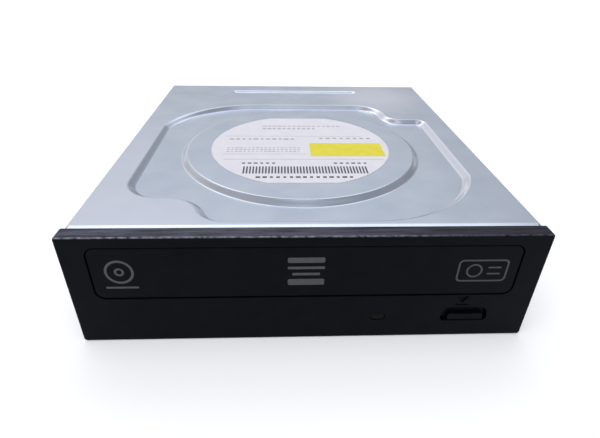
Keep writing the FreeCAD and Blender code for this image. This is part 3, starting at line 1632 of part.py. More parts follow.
mat_thick = size("mat_thick", 0.6)
magnet_radius = size("magnet_radius", 8)
spindle_shaft = size("spindle_shaft", 1.5)
cone_high = size("cone_high", 2.8)


def make_stator():
    body = new_body("stator_plate_body")
    plate_y = (back(spindle_back - stator_front), back(spindle_back + stator_rear))
    plate = rectangle((-stator_half, stator_half), plate_y, stator_round)
    sketch = new_sketch(body, "stator_outline", "XY_Plane", base_top, plate)
    bearing = spindle_shaft + run_gap
    ring(sketch, 0, spindle_y, bearing)
    pad(body, sketch, stator_plate)
    low = base_top + stator_plate
    coil = rotor_radius - can_wall - coil_side
    tube = [
        (bearing, low - bite),
        (bearing_tube, low - bite),
        (bearing_tube, rotor_low + coil_gap),
        (coil, rotor_low + coil_gap),
        (coil, rotor_high - can_wall - coil_top),
        (bearing, rotor_high - can_wall - coil_top),
    ]
    return fuse("stator_core", body, turned("stator_coils", tube, 0, spindle_y))


def make_rotor():
    inner = rotor_radius - can_wall
    under = rotor_high - can_wall
    profile = [
        (0, base_top + shaft_foot),
        (spindle_shaft, base_top + shaft_foot),
        (spindle_shaft, under),
        (inner, under),
        (inner, rotor_low),
        (rotor_radius, rotor_low),
        (rotor_radius, rotor_high),
        (0, rotor_high),
    ]
    return turned("rotor_cup", profile, 0, spindle_y)


def make_turntable():
    seat = rotor_high + magnet_seat
    profile = [
        (0, rotor_high),
        (rotor_radius - table_in, rotor_high),
        (table_radius, rotor_high + table_cone),
        (table_radius, table_top),
        (magnet_radius, table_top),
        (magnet_radius, seat),
        (0, seat),
    ]
    return turned("table_disc", profile, 0, spindle_y)


def make_hub_magnet():
    seat = rotor_high + magnet_seat
    rim = magnet_radius - magnet_fit
    profile = [(magnet_bore, seat), (rim, seat), (rim, table_top), (magnet_bore, table_top)]
    return turned("magnet_ring", profile, 0, spindle_y)


def make_mat():
    top = table_top + mat_thick
    inner = table_radius - mat_in
    outer = table_radius - mat_out
    profile = [(inner, table_top), (outer, table_top), (outer, top), (inner, top)]
    return turned("mat_ring", profile, 0, spindle_y)


def make_cone():
    shoulder = table_top + cone_high * 0.43
    tip = table_top + cone_high
    profile = [
        (0, table_top),
        (hub_radius, table_top),
        (hub_radius, shoulder),
        (hub_radius - cone_taper, tip),
        (0, tip),
    ]
    return turned("cone_hub", profile, 0, spindle_y)


lowered("spindle_stator", make_stator())
lowered("rotor_can", make_rotor())
lowered("turntable", make_turntable())
lowered("hub_magnet", make_hub_magnet())
lowered("turntable_mat", make_mat())
lowered("centering_cone", make_cone())

# Optical pickup on the two rods.
sled_gap = size("sled_gap", 3.3)
sled_front = rod_front + sled_gap
sled_long = size("sled_long", 19.4)
sled_low = size("sled_low", 14.5)
sled_top = size("sled_top", 25)
sled_round = size("sled_round", 2.5)
bearing_in = size("bearing_in", 1.5)
bearing_end = size("bearing_end", 2)
bearing_cap = size("bearing_cap", 1.6)
bearing_side = size("bearing_side", 3.6)
fork_in = size("fork_in", 1)
fork_long = size("fork_long", 6.5)
fork_side = size("fork_side", 2.6)
fork_cap = size("fork_cap", 1.2)
fork_slot = size("fork_slot", 2.5)
cap_in = size("cap_in", 0.8)
cap_end = size("cap_end", 1.4)
cap_half = size("cap_half", 15)
cap_round = size("cap_round", 2)
cap_thick = size("cap_thick", 1.6)
lens_room = size("lens_room", 1.4)
lens_foot = size("lens_foot", 1.5)
lens_skirt = size("lens_skirt", 0.9)
lens_shoulder = size("lens_shoulder", 0.7)
lens_taper = size("lens_taper", 1.2)
nut_in = size("nut_in", 1.4)
nut_long = size("nut_long", 5.7)
nut_over = size("nut_over", 4)
nut_side = size("nut_side", 2)
nut_thick = size("nut_thick", 1)
thread_in = size("thread_in", 2.2)
thread_long = size("thread_long", 4)
thread_half = size("thread_half", 1.6)
thread_gap = size("thread_gap", 0.15)
lens_in = size("lens_in", 7.7)
lens_back = sled_front + lens_in
lens_radius = size("lens_radius", 3.1)
lens_top = size("lens_top", 27.4)


def make_sled():
    body = new_body("sled_body")
    ends = (back(sled_front), back(sled_front + sled_long))
    plan = rectangle((-sled_half, sled_half), ends, sled_round)
    pad(body, new_sketch(body, "sled_plan", "XY_Plane", sled_low, plan), sled_top - sled_low)
    arm_y = (back(sled_front + bearing_in), back(sled_front + sled_long - bearing_end))
    left_z = (base_top + fold_gap, rod_z + rod_radius + bearing_cap)
    left = box("sled_bearing", (-rod_x - bearing_side, past - sled_half), arm_y, left_z)
    fork_y = (back(sled_front + fork_in), back(sled_front + fork_in + fork_long))
    fork_z = (base_top + fold_gap, rod_z + rod_radius + fork_cap)
    fork = box("sled_fork", (sled_half - past, rod_x + fork_side), fork_y, fork_z)
    through = (back(sled_front - past), back(sled_front + sled_long + past))
    bore = cylinder("sled_bore", rod_radius + run_gap, "Y", (-rod_x, rod_z), through)
    slot_x = (rod_x - fork_slot, rod_x + fork_side + past)
    slot_z = (rod_z - rod_radius - run_gap, rod_z + rod_radius + run_gap)
    slot = box("sled_slot", slot_x, through, slot_z)
    return cut("sled_cut", fuse("sled_cast", body, left, fork), bore, slot)


def make_pickup_cover():
    body = new_body("cover_cap")
    ends = (back(sled_front + cap_in), back(sled_front + sled_long - cap_end))
    plan = rectangle((-cap_half, cap_half), ends, cap_round)
    sketch = new_sketch(body, "cap_plan", "XY_Plane", sled_top, plan)
    ring(sketch, 0, back(lens_back), lens_radius + lens_room)
    pad(body, sketch, cap_thick)
    return body


def make_lens():
    middle = sled_top + lens_foot
    profile = [
        (0, sled_top),
        (lens_radius + lens_skirt, sled_top),
        (lens_radius + lens_skirt, middle),
        (lens_radius, middle),
        (lens_radius, lens_top - lens_shoulder),
        (lens_radius - lens_taper, lens_top),
        (0, lens_top),
    ]
    return turned("lens_turned", profile, 0, back(lens_back))


def make_feed_nut():
    fork_top = rod_z + rod_radius + fork_cap
    arm_x = (rod_x - nut_over, screw_x + nut_side)
    arm_y = (back(sled_front + nut_in), back(sled_front + nut_in + nut_long))
    arm = box("nut_arm", arm_x, arm_y, (fork_top, fork_top + nut_thick))
    tooth_x = (screw_x - thread_half, screw_x + thread_half)
    tooth_y = (back(sled_front + thread_in), back(sled_front + thread_in + thread_long))
    tooth_z = (rod_z + screw_radius + thread_gap, fork_top + nut_thick / 2)
    tooth = box("nut_tooth", tooth_x, tooth_y, tooth_z)
    return fuse("nut_formed", arm, tooth)


lowered("pickup_sled", make_sled())
lowered("pickup_cover", make_pickup_cover())
lowered("objective_lens", make_lens())
lowered("feed_nut", make_feed_nut())

# Clamp above the disc.
bridge_thick = size("bridge_thick", 1)
bridge_round = size("bridge_round", 2)
hole_room = size("hole_room", 0.15)
screw_hole = small_screw + hole_room
bridge_fold_in = size("bridge_fold_in", 12)
puck_hollow = size("puck_hollow", 1)
puck_deep = size("puck_deep", 2.6)
bridge_head = size("bridge_head", 2.1)
bridge_head_high = size("bridge_head_high", 1.2)
bridge_over = size("bridge_over", 1.5)
bridge_half = wall_outer + bridge_over
bridge_long = size("bridge_long", 42)
fold_room = size("fold_room", 0.25)
puck_room = size("puck_room", 0.6)
puck_low = tray_top + puck_room
puck_radius = size("puck_radius", 16)
puck_flange = size("puck_flange", 18.6)
puck_rim = size("puck_rim", 0.95)
puck_top = wall_top + bridge_thick + puck_rim
yoke_radius = size("yoke_radius", 12)
yoke_thick = size("yoke_thick", 0.8)


def bridge_spots():
    return spots_of(bridge_screw_x, [start + bridge_pad_long / 2 for start in bridge_pads])


def make_bridge():
    body = new_body("bridge_strip")
    ends = (spindle_y - bridge_long / 2, spindle_y + bridge_long / 2)
    strip = rectangle((-bridge_half, bridge_half), ends, bridge_round)
    sketch = new_sketch(body, "bridge_plan", "XY_Plane", wall_top, strip)
    ring(sketch, 0, spindle_y, clamp_hole)
    for spot in bridge_spots():
        ring(sketch, spot[0], spot[1], screw_hole)
    pad(body, sketch, bridge_thick)
    folds = [body]
    span = (bridge_fold_in - bridge_half, bridge_half - bridge_fold_in)
    tall = (wall_top, case_height - field_drop - steel - fold_room)
    folds.append(box("bridge_fold_front", span, (ends[0], ends[0] + bridge_thick), tall))
    folds.append(box("bridge_fold_rear", span, (ends[1] - bridge_thick, ends[1]), tall))
    return fuse("clamp_bridge", *folds)


def make_puck():
    seat = wall_top + bridge_thick + seat_gap
    hollow = hub_radius + puck_hollow
    profile = [
        (hollow, puck_low),
        (puck_radius, puck_low),
        (puck_radius, seat),
        (puck_flange, seat),
        (puck_flange, puck_top),
        (0, puck_top),
        (0, puck_low + puck_deep),
        (hollow, puck_low + puck_deep),
    ]
    return turned("clamper_puck", profile, 0, spindle_y)


def make_yoke():
    return cylinder("clamp_yoke", yoke_radius, "Z", (0, spindle_y), (puck_top, puck_top + yoke_thick))


keep("clamp_bridge", make_bridge())
bridge_face = wall_top + bridge_thick
bridge_tip = wall_top - bridge_screw_in
bridge_set = (bridge_head, bridge_head_high, bridge_tip, bridge_face)
keep("bridge_screws", screw_set("bridge_screw", bridge_spots(), *bridge_set))
keep("clamper_puck", make_puck())
keep("clamp_yoke", make_yoke())

# Boards and what is fixed to them.
board_top = board_low + board_thick
socket_long = size("socket_long", 10)
socket_front = board_rear - socket_long
socket_deep = size("socket_deep", 7)
board_round = size("board_round", 1)
tongue_side = size("tongue_side", 1)
tongue_in = size("tongue_in", 1)
key_wide = size("key_wide", 1.2)
key_drop = size("key_drop", 1)
chip_round = size("chip_round", 0.5)
socket_wall = size("socket_wall", 1.2)
data_wide = size("data_wide", 10.6)
tongue_thick = size("tongue_thick", 1.3)


def make_main_board():
    body = new_body("main_board")
    plan = rectangle((-board_half, board_half), (back(board_front), back(board_rear)), board_round)
    sketch = new_sketch(body, "board_plan", "XY_Plane", board_low, plan)
    for x, y in spots_of(standoff_x, standoff_rows):
        ring(sketch, x, y, screw_hole)
    pad(body, sketch, board_thick)
    return body


def make_rear_socket():
    end = rear - steel - fold_gap * 2
    z = (board_top, board_top + socket_high)
    block = box("socket_block", (socket_left, socket_right), (back(socket_front), end), z)
    data_x = (socket_left + socket_wall, socket_left + socket_wall + data_wide)
    power_x = (data_x[1] + socket_wall, socket_right - socket_wall)
    hollows = []
    tongues = []
    for name, limits in (("data", data_x), ("power", power_x)):
        hollow_z = (z[0] + socket_wall, z[1] - socket_wall)
        hollows.append(box(f"{name}_hollow", limits, (end - socket_deep, end + past), hollow_z))
        middle = (hollow_z[0] + hollow_z[1]) / 2
        tongue_x = (limits[0] + tongue_side, limits[1] - tongue_side)
        tongue_y = (end - socket_deep - bite, end - tongue_in)
        tongue_z = (middle - tongue_thick / 2, middle + tongue_thick / 2)
        tongues.append(box(f"{name}_tongue", tongue_x, tongue_y, tongue_z))
        key_x = (tongue_x[0], tongue_x[0] + key_wide)
        tongues.append(box(f"{name}_key", key_x, tongue_y, (tongue_z[0] - key_drop, tongue_z[1])))
    return fuse("rear_socket", cut("socket_shell", block, *hollows), *tongues)


def chip(name, x, distance, wide, long, high):
    body = new_body(name)
    ends = (back(distance - long / 2), back(distance + long / 2))
    plan = rectangle((x - wide / 2, x + wide / 2), ends, chip_round)
    pad(body, new_sketch(body, name + "_plan", "XY_Plane", board_top, plan), high)
    return body


can_edge = size("can_edge", 4.5)
can_front = size("can_front", 24)
can_pitch = size("can_pitch", 8)
can_radius = size("can_radius", 2.5)
can_high = size("can_high", 4.2)


def make_capacitors():
    cans = []
    for number in range(3):
        spot = (can_edge - board_half, back(board_front + can_front + can_pitch * number))
        can_z = (board_top, board_top + can_high)
        cans.append(cylinder(f"capacitor_{number}", can_radius, "Z", spot, can_z))
    return group("board_capacitors", *cans)


ribbon_in = size("ribbon_in", 4)
ribbon_left = front_board_left + ribbon_in
ribbon_wide = size("ribbon_wide", 12)
ribbon_x = (ribbon_left, ribbon_left + ribbon_wide)
ribbon_thick = size("ribbon_thick", 0.25)


plug_in = size("plug_in", 1.4)
plug_long = size("plug_long", 3.6)
plug_high = size("plug_high", 1.8)
plug_side = size("plug_side", 2)
far_left = size("far_left", -16)
far_wide = size("far_wide", 22)
far_front = size("far_front", 46)
far_long = size("far_long", 4)


def make_ribbon_sockets():
    front_y = (back(board_front + plug_in), back(board_front + plug_in + plug_long))
    near_x = (ribbon_x[0] - plug_side, ribbon_x[1] + plug_side)
    near = box("front_ribbon_socket", near_x, front_y, (board_top, board_top + plug_high))
    far_y = (back(board_front + far_front), back(board_front + far_front + far_long))
    far_x = (far_left, far_left + far_wide)
    far = box("pickup_ribbon_socket", far_x, far_y, (board_top, board_top + plug_high))
    return group("ribbon_sockets", near, far)


front_board_front = size("front_board_front", 8.4)
front_board_rear = size("front_board_rear", 27)


def make_front_board():
    body = new_body("front_board")
    plan_x = (front_board_left, front_board_right)
    plan = rectangle(plan_x, (back(front_board_front), back(front_board_rear)), board_round)
    sketch = new_sketch(body, "front_board_plan", "XY_Plane", front_board_low, plan)
    for x, distance in front_posts:
        ring(sketch, x, back(distance), screw_hole)
    pad(body, sketch, front_board_top - front_board_low)
    return body


front_head = size("front_head", 2)
front_head_high = size("front_head_high", 1.1)


def make_front_screws():
    screws = []
    for number, (x, distance) in enumerate(front_posts):
        spot = (x, back(distance))
        head_z = (front_board_low - front_head_high, front_board_low)
        head = cylinder(f"front_head_{number}", front_head, "Z", spot, head_z)
        shank_z = (front_board_low, deck_low - post_skin - bridge_bore_room)
        shank = cylinder(f"front_shank_{number}", small_screw, "Z", spot, shank_z)
        screws.append(fuse(f"front_screw_{number}", head, shank))
    return group("front_board_screws", *screws)


switch_half = size("switch_half", 3)
switch_high = size("switch_high", 5)
plunger_in = size("plunger_in", 1.5)
plunger_room = size("plunger_room", 0.7)
dome_radius = size("dome_radius", 1.5)
dome_gap = size("dome_gap", 0.2)
lamp_front = size("lamp_front", 11)
lamp_long = size("lamp_long", 3)
lamp_base_half = size("lamp_base_half", 1.9)
switch_deep = size("switch_deep", 4)
plunger_radius = size("plunger_radius", 1.2)


def make_switch():
    x = (stem_x - switch_half, stem_x + switch_half)
    y = (back(switch_back), back(switch_back + switch_deep))
    block = box("switch_block", x, y, (front_board_top, front_board_top + switch_high))
    bore = (back(switch_back - past), back(switch_back + plunger_in + plunger_room))
    hole = cylinder("switch_bore", plunger_radius + run_gap, "Y", (stem_x, stem_z), bore)
    return cut("eject_switch", block, hole)


def make_plunger():
    span = (back(switch_back - plunger_out), back(switch_back + plunger_in))
    return cylinder("switch_plunger", plunger_radius, "Y", (stem_x, stem_z), span)


def make_status_lamp():
    lamp_rear = lamp_front + lamp_long
    dome_y = (back(pipe_back + dome_gap), back(lamp_rear - past))
    dome = cylinder("lamp_dome", dome_radius, "Y", (lamp_x, lamp_z), dome_y)
    base_x = (lamp_x - lamp_base_half, lamp_x + lamp_base_half)
    base_z = (front_board_top, lamp_z + lamp_base_half)
    base = box("lamp_base", base_x, (back(lamp_front), back(lamp_rear)), base_z)
    return fuse("status_led", dome, base)


ribbon_bend = size("ribbon_bend", 0.8)
ribbon_turn = size("ribbon_turn", 0.6)
ribbon_rise = size("ribbon_rise", 3)
ribbon_near = size("ribbon_near", 1.2)
ribbon_under = size("ribbon_under", 5)
ribbon_drop = size("ribbon_drop", 2.5)
ribbon_slope = size("ribbon_slope", 3.5)
ribbon_shift = size("ribbon_shift", 0.2)


def make_front_ribbon():
    """Flat cable from under the front board, along the floor, to the main board."""
    body = new_body("front_ribbon")
    low = steel + seat_gap * 2
    lift = front_board_low - fold_gap
    plug = board_top + plug_high / 2
    start = front_board_rear - ribbon_under
    bend = front_board_rear + ribbon_drop
    flat = bend + ribbon_slope
    rise = board_front - ribbon_rise
    near = board_front - ribbon_near
    outer = [
        (back(start), lift),
        (back(bend), lift, ribbon_bend),
        (back(flat), low + ribbon_thick, ribbon_bend),
        (back(rise), low + ribbon_thick, ribbon_turn),
        (back(near), plug, ribbon_turn),
        (back(board_front + plug_in), plug),
        (back(board_front + plug_in), plug - ribbon_thick),
        (back(near + ribbon_shift), plug - ribbon_thick, ribbon_turn - ribbon_thick),
        (back(rise + ribbon_shift), low, ribbon_turn + ribbon_thick),
        (back(flat - ribbon_shift), low, ribbon_bend + ribbon_thick),
        (back(bend - ribbon_shift), lift - ribbon_thick, ribbon_bend - ribbon_thick),
        (back(start), lift - ribbon_thick),
    ]
    sketch = new_sketch(body, "front_ribbon_path", "YZ_Plane", ribbon_x[0], outer)
    pad(body, sketch, ribbon_x[1] - ribbon_x[0])
    return body


def make_motor_screws():
    spots = [(x, motor_y) for x in motor_screw_xs]
    return screw_set("motor_screw", spots, motor_head, motor_head_high, deck_low - motor_screw_in, deck_top)


keep("main_board", make_main_board())
keep("rear_socket", make_rear_socket())
chip_high = size("chip_high", 1.2)
chip_x = size("chip_x", -14)
chip_in = size("chip_in", 22)
chip_side = size("chip_side", 18)
driver_x = size("driver_x", 24)
driver_in = size("driver_in", 24)
driver_wide = size("driver_wide", 10)
driver_long = size("driver_long", 12)
chip_spot = (chip_x, board_front + chip_in, chip_side, chip_side)
driver_spot = (driver_x, board_front + driver_in, driver_wide, driver_long)
keep("controller_chip", chip("controller_chip", *chip_spot, chip_high))
keep("driver_chip", chip("driver_chip", *driver_spot, chip_high))
keep("board_capacitors", make_capacitors())
keep("ribbon_sockets", make_ribbon_sockets())
board_head = size("board_head", 2.2)
board_head_high = size("board_head_high", 1.2)
board_tip = size("board_tip", 0.3)
board_spots = spots_of(standoff_x, standoff_rows)
board_set = (board_head, board_head_high, steel + board_tip, board_top)
keep("board_screws", screw_set("board_screw", board_spots, *board_set))
keep("front_board", make_front_board())
keep("front_board_screws", make_front_screws())
keep("eject_switch", make_switch())
keep("switch_plunger", make_plunger())
keep("status_led", make_status_lamp())
keep("front_ribbon", make_front_ribbon())
keep("motor_screws", make_motor_screws())

# Write each piece to its own file.
doc.recompute()
os.makedirs("parts", exist_ok=True)
for label, piece in pieces.items():
    steps = (piece, *piece.OutListRecursive)
    bad = [item.Name for item in steps if {"Invalid", "Error"} & set(item.State)]
    if bad or piece.Shape.isNull() or not piece.Shape.isValid():
        raise RuntimeError(f"{label} did not build: {bad}")
    piece.Shape.exportStep(f"parts/{label}.step")
    print(label, len(piece.Shape.Solids), round(piece.Shape.Volume, 1))
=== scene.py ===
# %% [markdown]
# # A half-height disc drive on a studio table
# The real object is a steel box with a black moulded front: a drawer slides out of the front, and a
# disc turns inside. The CAD model already gives every size and every joint, so Blender's task is the
# look: pressed sheet steel, moulded plastic, a printed label and the light that shows them.

# %% Load the frame
import json
import math

import bmesh
import bpy
from mathutils import Matrix, Vector


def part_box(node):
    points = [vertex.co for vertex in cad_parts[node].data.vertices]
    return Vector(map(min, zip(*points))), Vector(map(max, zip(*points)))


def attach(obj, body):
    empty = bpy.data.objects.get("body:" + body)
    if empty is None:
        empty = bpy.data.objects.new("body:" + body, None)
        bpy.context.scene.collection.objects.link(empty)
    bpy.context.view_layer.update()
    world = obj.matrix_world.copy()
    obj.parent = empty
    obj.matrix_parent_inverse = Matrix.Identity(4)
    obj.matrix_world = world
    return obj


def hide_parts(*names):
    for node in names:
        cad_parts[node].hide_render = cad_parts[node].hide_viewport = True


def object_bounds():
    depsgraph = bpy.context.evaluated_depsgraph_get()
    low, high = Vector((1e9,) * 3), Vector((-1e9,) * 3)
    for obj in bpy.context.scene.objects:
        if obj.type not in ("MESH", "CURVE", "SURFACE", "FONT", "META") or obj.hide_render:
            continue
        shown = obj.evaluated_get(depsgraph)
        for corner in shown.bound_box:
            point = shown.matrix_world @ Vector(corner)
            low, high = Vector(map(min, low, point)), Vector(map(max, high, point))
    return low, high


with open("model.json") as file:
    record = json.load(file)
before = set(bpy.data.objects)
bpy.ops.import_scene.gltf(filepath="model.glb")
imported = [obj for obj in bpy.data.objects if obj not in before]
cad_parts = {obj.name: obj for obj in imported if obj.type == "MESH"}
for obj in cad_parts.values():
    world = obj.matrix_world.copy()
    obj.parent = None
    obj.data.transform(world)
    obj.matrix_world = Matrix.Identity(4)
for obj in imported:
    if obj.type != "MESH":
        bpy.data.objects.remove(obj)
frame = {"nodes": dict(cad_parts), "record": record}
cad_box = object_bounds()
nodes = frame["nodes"]
stage = bpy.context.scene
MM = 0.001
print("nodes", len(nodes), "box", [[round(v / MM, 2) for v in corner] for corner in cad_box])

# %% Places that later cells measure from
front, rear, brim = cad_box[0][1], cad_box[1][1], cad_box[1][2]
cover_low, cover_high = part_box("top_cover")
half_case, case_top, cover_front = cover_high[0], cover_high[2], cover_low[1]
ISLAND_BACK = 70
island_place = front + ISLAND_BACK * MM
print("case", round(2 * half_case / MM, 2), "mm wide and", round(case_top / MM, 2), "mm high")

# %% [markdown]
# ## Camera
# The photograph was taken close to the front with a short lens, so the front looks wide and the rear
# narrow. Six corners of the case were matched to the picture, which gives the place, the tilt and the
# focal length. A wide lens close by is what makes the depth read as it does, so it is not replaced by
# a longer one from further off.

# %% Camera at the photograph's place
eye = Vector((-8.4, -189.7, 113.1)) * MM
pitch, yaw, roll = math.radians(31.5), math.radians(2.89), math.radians(1.21)
ahead = Vector((math.sin(yaw) * math.cos(pitch), math.cos(yaw) * math.cos(pitch), -math.sin(pitch)))
level = Vector((math.cos(yaw), -math.sin(yaw), 0))
upright = level.cross(ahead)
right = level * math.cos(roll) + upright * math.sin(roll)
top = upright * math.cos(roll) - level * math.sin(roll)

lens = bpy.data.cameras.new("studio_camera")
lens.lens = 26.55
lens.sensor_width = 36
lens.clip_start = 0.005
camera = bpy.data.objects.new("studio_camera", lens)
stage.collection.objects.link(camera)
camera.matrix_world = Matrix.Translation(eye) @ Matrix((right, top, -ahead)).transposed().to_4x4()
stage.camera = camera
print("camera at", [round(v, 4) for v in eye])

# %% [markdown]
# ## Floor and light
# The picture has a white ground and soft light with hardly a shadow. Steel shows what it mirrors, so
# the sky is a dim dome with a few wide, soft patches: one low behind the drive that the flat lid
# mirrors, a fainter one opposite for a view from behind, and a band and a spot high up for the pressed
# walls. The paper floor needs far more light than the steel can bear, so it comes from a very wide sun
# that mirrors do not see. One strong lamp for both would burn the lid white from behind. Where the sky
# itself is in view, it is an even pale backdrop.


# %% Nodes, links and tones
def tone(red, green, blue):
    """A colour read off a screen, 0 to 255, as Blender's linear colour."""
    shares = [c / 255 for c in (red, green, blue)]
    return [c / 12.92 if c <= 0.04045 else ((c + 0.055) / 1.055) ** 2.4 for c in shares] + [1.0]


def add(tree, kind, settings=None, **sockets):
    """A node of that kind with its settings, and its sockets fed by links or plain values."""
    node = tree.nodes.new(kind)
    for name, value in (settings or {}).items():
        setattr(node, name, value)
    for name, value in sockets.items():
        plug(tree, node, name, value)
    return node


def plug(tree, node, name, value):
    """Feeds one socket, named with its spaces as underscores or given by its place, as in n0."""
    socket = node.inputs[int(name[1:])] if name[1:].isdigit() else node.inputs[name.replace("_", " ")]
    if isinstance(value, bpy.types.NodeSocket):
        tree.links.new(value, socket)
    else:
        socket.default_value = value


# %% Numbers worked out by nodes
def sums(tree, operation, *values):
    """Numbers or links added, multiplied and so on, one after the other."""
    result = values[0]
    for value in values[1:]:
        result = add(tree, "ShaderNodeMath", {"operation": operation}, n0=result, n1=value).outputs[0]
    return result


def size_alone(tree, value):
    """A number without its sign."""
    return add(tree, "ShaderNodeMath", {"operation": "ABSOLUTE"}, n0=value).outputs[0]


def measured(tree, operation, first, second):
    """One number from two directions or places: their dot product or their distance."""
    return add(tree, "ShaderNodeVectorMath", {"operation": operation}, n0=first, n1=second).outputs["Value"]


def axes_of(tree, vector):
    """The X, Y and Z of a place or a direction."""
    return add(tree, "ShaderNodeSeparateXYZ", Vector=vector).outputs


def mask(tree, value, low, high, start=0.0, end=1.0):
    """A soft ramp from start to end as a value goes from low to high."""
    ramp = add(tree, "ShaderNodeMapRange", {"interpolation_type": "SMOOTHSTEP"}, Value=value)
    for name, number in (("From Min", low), ("From Max", high), ("To Min", start), ("To Max", end)):
        ramp.inputs[name].default_value = number
    return ramp.outputs["Result"]


# %% Directions in the sky
REAR_LOW = (-0.16, 0.89, 0.42)
FRONT_LOW = (0.16, -0.89, 0.42)
OVERHEAD = (0.0, -0.08, 0.997)
TO_CAMERA = (0.0, -1.0, 0.0)
SIDEWAYS = (1.0, 0.0, 0.0)
ACROSS_BAND = (0.0, 0.819, -0.574)

sky = bpy.data.worlds.new("studio_sky")
stage.world = sky
sky.use_nodes = True
heaven = sky.node_tree
aim = add(heaven, "ShaderNodeTexCoord").outputs["Generated"]
height = axes_of(heaven, aim)["Z"]


def glow(direction, **limits):
    """A soft patch of the sky round a direction."""
    return mask(heaven, measured(heaven, "DOT_PRODUCT", aim, direction), **limits)


def stripe(across, **limits):
    """A soft stripe of the sky that lies square to a direction."""
    return mask(heaven, size_alone(heaven, measured(heaven, "DOT_PRODUCT", aim, across)), **limits)


# %% Patches of the sky
lid_patch = glow(REAR_LOW, low=0.5, high=1.0, start=0.4, end=0.78)
opposite_patch = glow(FRONT_LOW, low=0.5, high=1.0, start=0.0, end=0.35)
wall_spot = glow(OVERHEAD, low=0.96, high=0.998, start=0.0, end=0.45)
wall_band = sums(heaven, "MULTIPLY", stripe(ACROSS_BAND, low=0.28, high=0.1, start=0.0, end=0.9),
                 stripe(SIDEWAYS, low=0.62, high=0.4))
dome = sums(heaven, "ADD", lid_patch, wall_band, wall_spot, opposite_patch)
haze = mask(heaven, height, low=0.02, high=0.42, start=0.4, end=1.0)
horizon = mask(heaven, height, low=0.03, high=0.2, start=0.75, end=0.0)
camera_side = sums(heaven, "MULTIPLY", glow(TO_CAMERA, low=0.0, high=0.6),
                   mask(heaven, height, low=0.0, high=0.6, start=0.5, end=0.0))
strength = sums(heaven, "ADD", sums(heaven, "MULTIPLY", dome, haze), horizon, camera_side)

BACKDROP = 0.95
seen = add(heaven, "ShaderNodeLightPath").outputs["Is Camera Ray"]
strength = add(heaven, "ShaderNodeMix", {"data_type": "FLOAT"}, n0=seen, n2=strength, n3=BACKDROP).outputs[0]
background = heaven.nodes["Background"]
plug(heaven, background, "Color", (0.96, 0.98, 1.02, 1))
plug(heaven, background, "Strength", strength)
print("sky made of", len(heaven.nodes), "nodes")

# %% The wide sun
sun = bpy.data.lights.new("paper_light", "SUN")
sun.angle = math.radians(85)
sun.energy = 2.0
sun_holder = bpy.data.objects.new("paper_light", sun)
stage.collection.objects.link(sun_holder)
to_sun = Vector((-0.25, -0.5, 1.0))
sun_holder.matrix_world = to_sun.to_track_quat("Z", "Y").to_matrix().to_4x4()
sun_holder.visible_glossy = False
stage.view_settings.view_transform = "Standard"

# %% Floor
FLOOR_REACH = 30.0
FLOOR_GAP = 0.02 * MM
floor_level = cad_box[0][2] - FLOOR_GAP
corners = [(x * FLOOR_REACH, y * FLOOR_REACH, floor_level) for x, y in ((-1, -1), (1, -1), (1, 1), (-1, 1))]
floor_mesh = bpy.data.meshes.new("floor")
floor_mesh.from_pydata(corners, [], [(0, 1, 2, 3)])
floor = bpy.data.objects.new("floor", floor_mesh)
stage.collection.objects.link(floor)
paper = bpy.data.materials.new("floor_paper")
paper.use_nodes = True
mottle = add(paper.node_tree, "ShaderNodeTexNoise", Scale=3.0, Detail=2.0)
shade = add(paper.node_tree, "ShaderNodeValToRGB", Fac=mottle.outputs["Fac"])
shade.color_ramp.elements[0].color = (0.93, 0.93, 0.94, 1)
shade.color_ramp.elements[1].color = (0.96, 0.96, 0.97, 1)
paper_shader = paper.node_tree.nodes["Principled BSDF"]
plug(paper.node_tree, paper_shader, "Base_Color", shade.outputs["Color"])
paper_shader.inputs["Roughness"].default_value = 0.9
paper_shader.inputs["Specular IOR Level"].default_value = 0.1
floor_mesh.materials.append(paper)
print("floor", 2 * FLOOR_REACH, "m wide")

# %% [markdown]
# ## Finishes
# Every real surface varies a little: moulded plastic copies the fine spark texture of its mould, and
# zinc-coated steel has faint cloudy patches from the bath. Each finish here is one Principled shader
# fed by noise on Object coordinates: two close tones for the colour, a spread of roughness and a
# shallow bump. Numbers that are the same all over stay on the shader's own sockets.


# %% The common finish
def finish(name, dark, light, rough, grain, bump, metal=0.0, patch=9.0, **extra):
    """Two tones mixed by soft patches, and roughness and bump by a fine grain. Grain, bump, patch in mm."""
    made = bpy.data.materials.new(name)
    made.use_nodes = True
    tree = made.node_tree
    shader = tree.nodes["Principled BSDF"]
    place = add(tree, "ShaderNodeTexCoord").outputs["Object"]
    clouds = add(tree, "ShaderNodeTexNoise", Vector=place, Scale=1 / (patch * MM), Detail=3.0)
    fine = add(tree, "ShaderNodeTexNoise", Vector=place, Scale=1 / (grain * MM), Detail=2.0)
    tones = add(tree, "ShaderNodeValToRGB", Fac=clouds.outputs["Fac"])
    for element, position, colour in zip(tones.color_ramp.elements, (0.3, 0.7), (dark, light)):
        element.position = position
        element.color = colour
    gloss = add(tree, "ShaderNodeMapRange", Value=fine.outputs["Fac"])
    gloss.inputs["To Min"].default_value = rough[0]
    gloss.inputs["To Max"].default_value = rough[1]
    relief = add(tree, "ShaderNodeBump", Height=fine.outputs["Fac"], Distance=bump * MM, Strength=0.6)
    plug(tree, shader, "Base_Color", tones.outputs["Color"])
    plug(tree, shader, "Roughness", gloss.outputs["Result"])
    plug(tree, shader, "Normal", relief.outputs["Normal"])
    shader.inputs["Metallic"].default_value = metal
    for socket, value in extra.items():
        shader.inputs[socket.replace("_", " ")].default_value = value
    return made


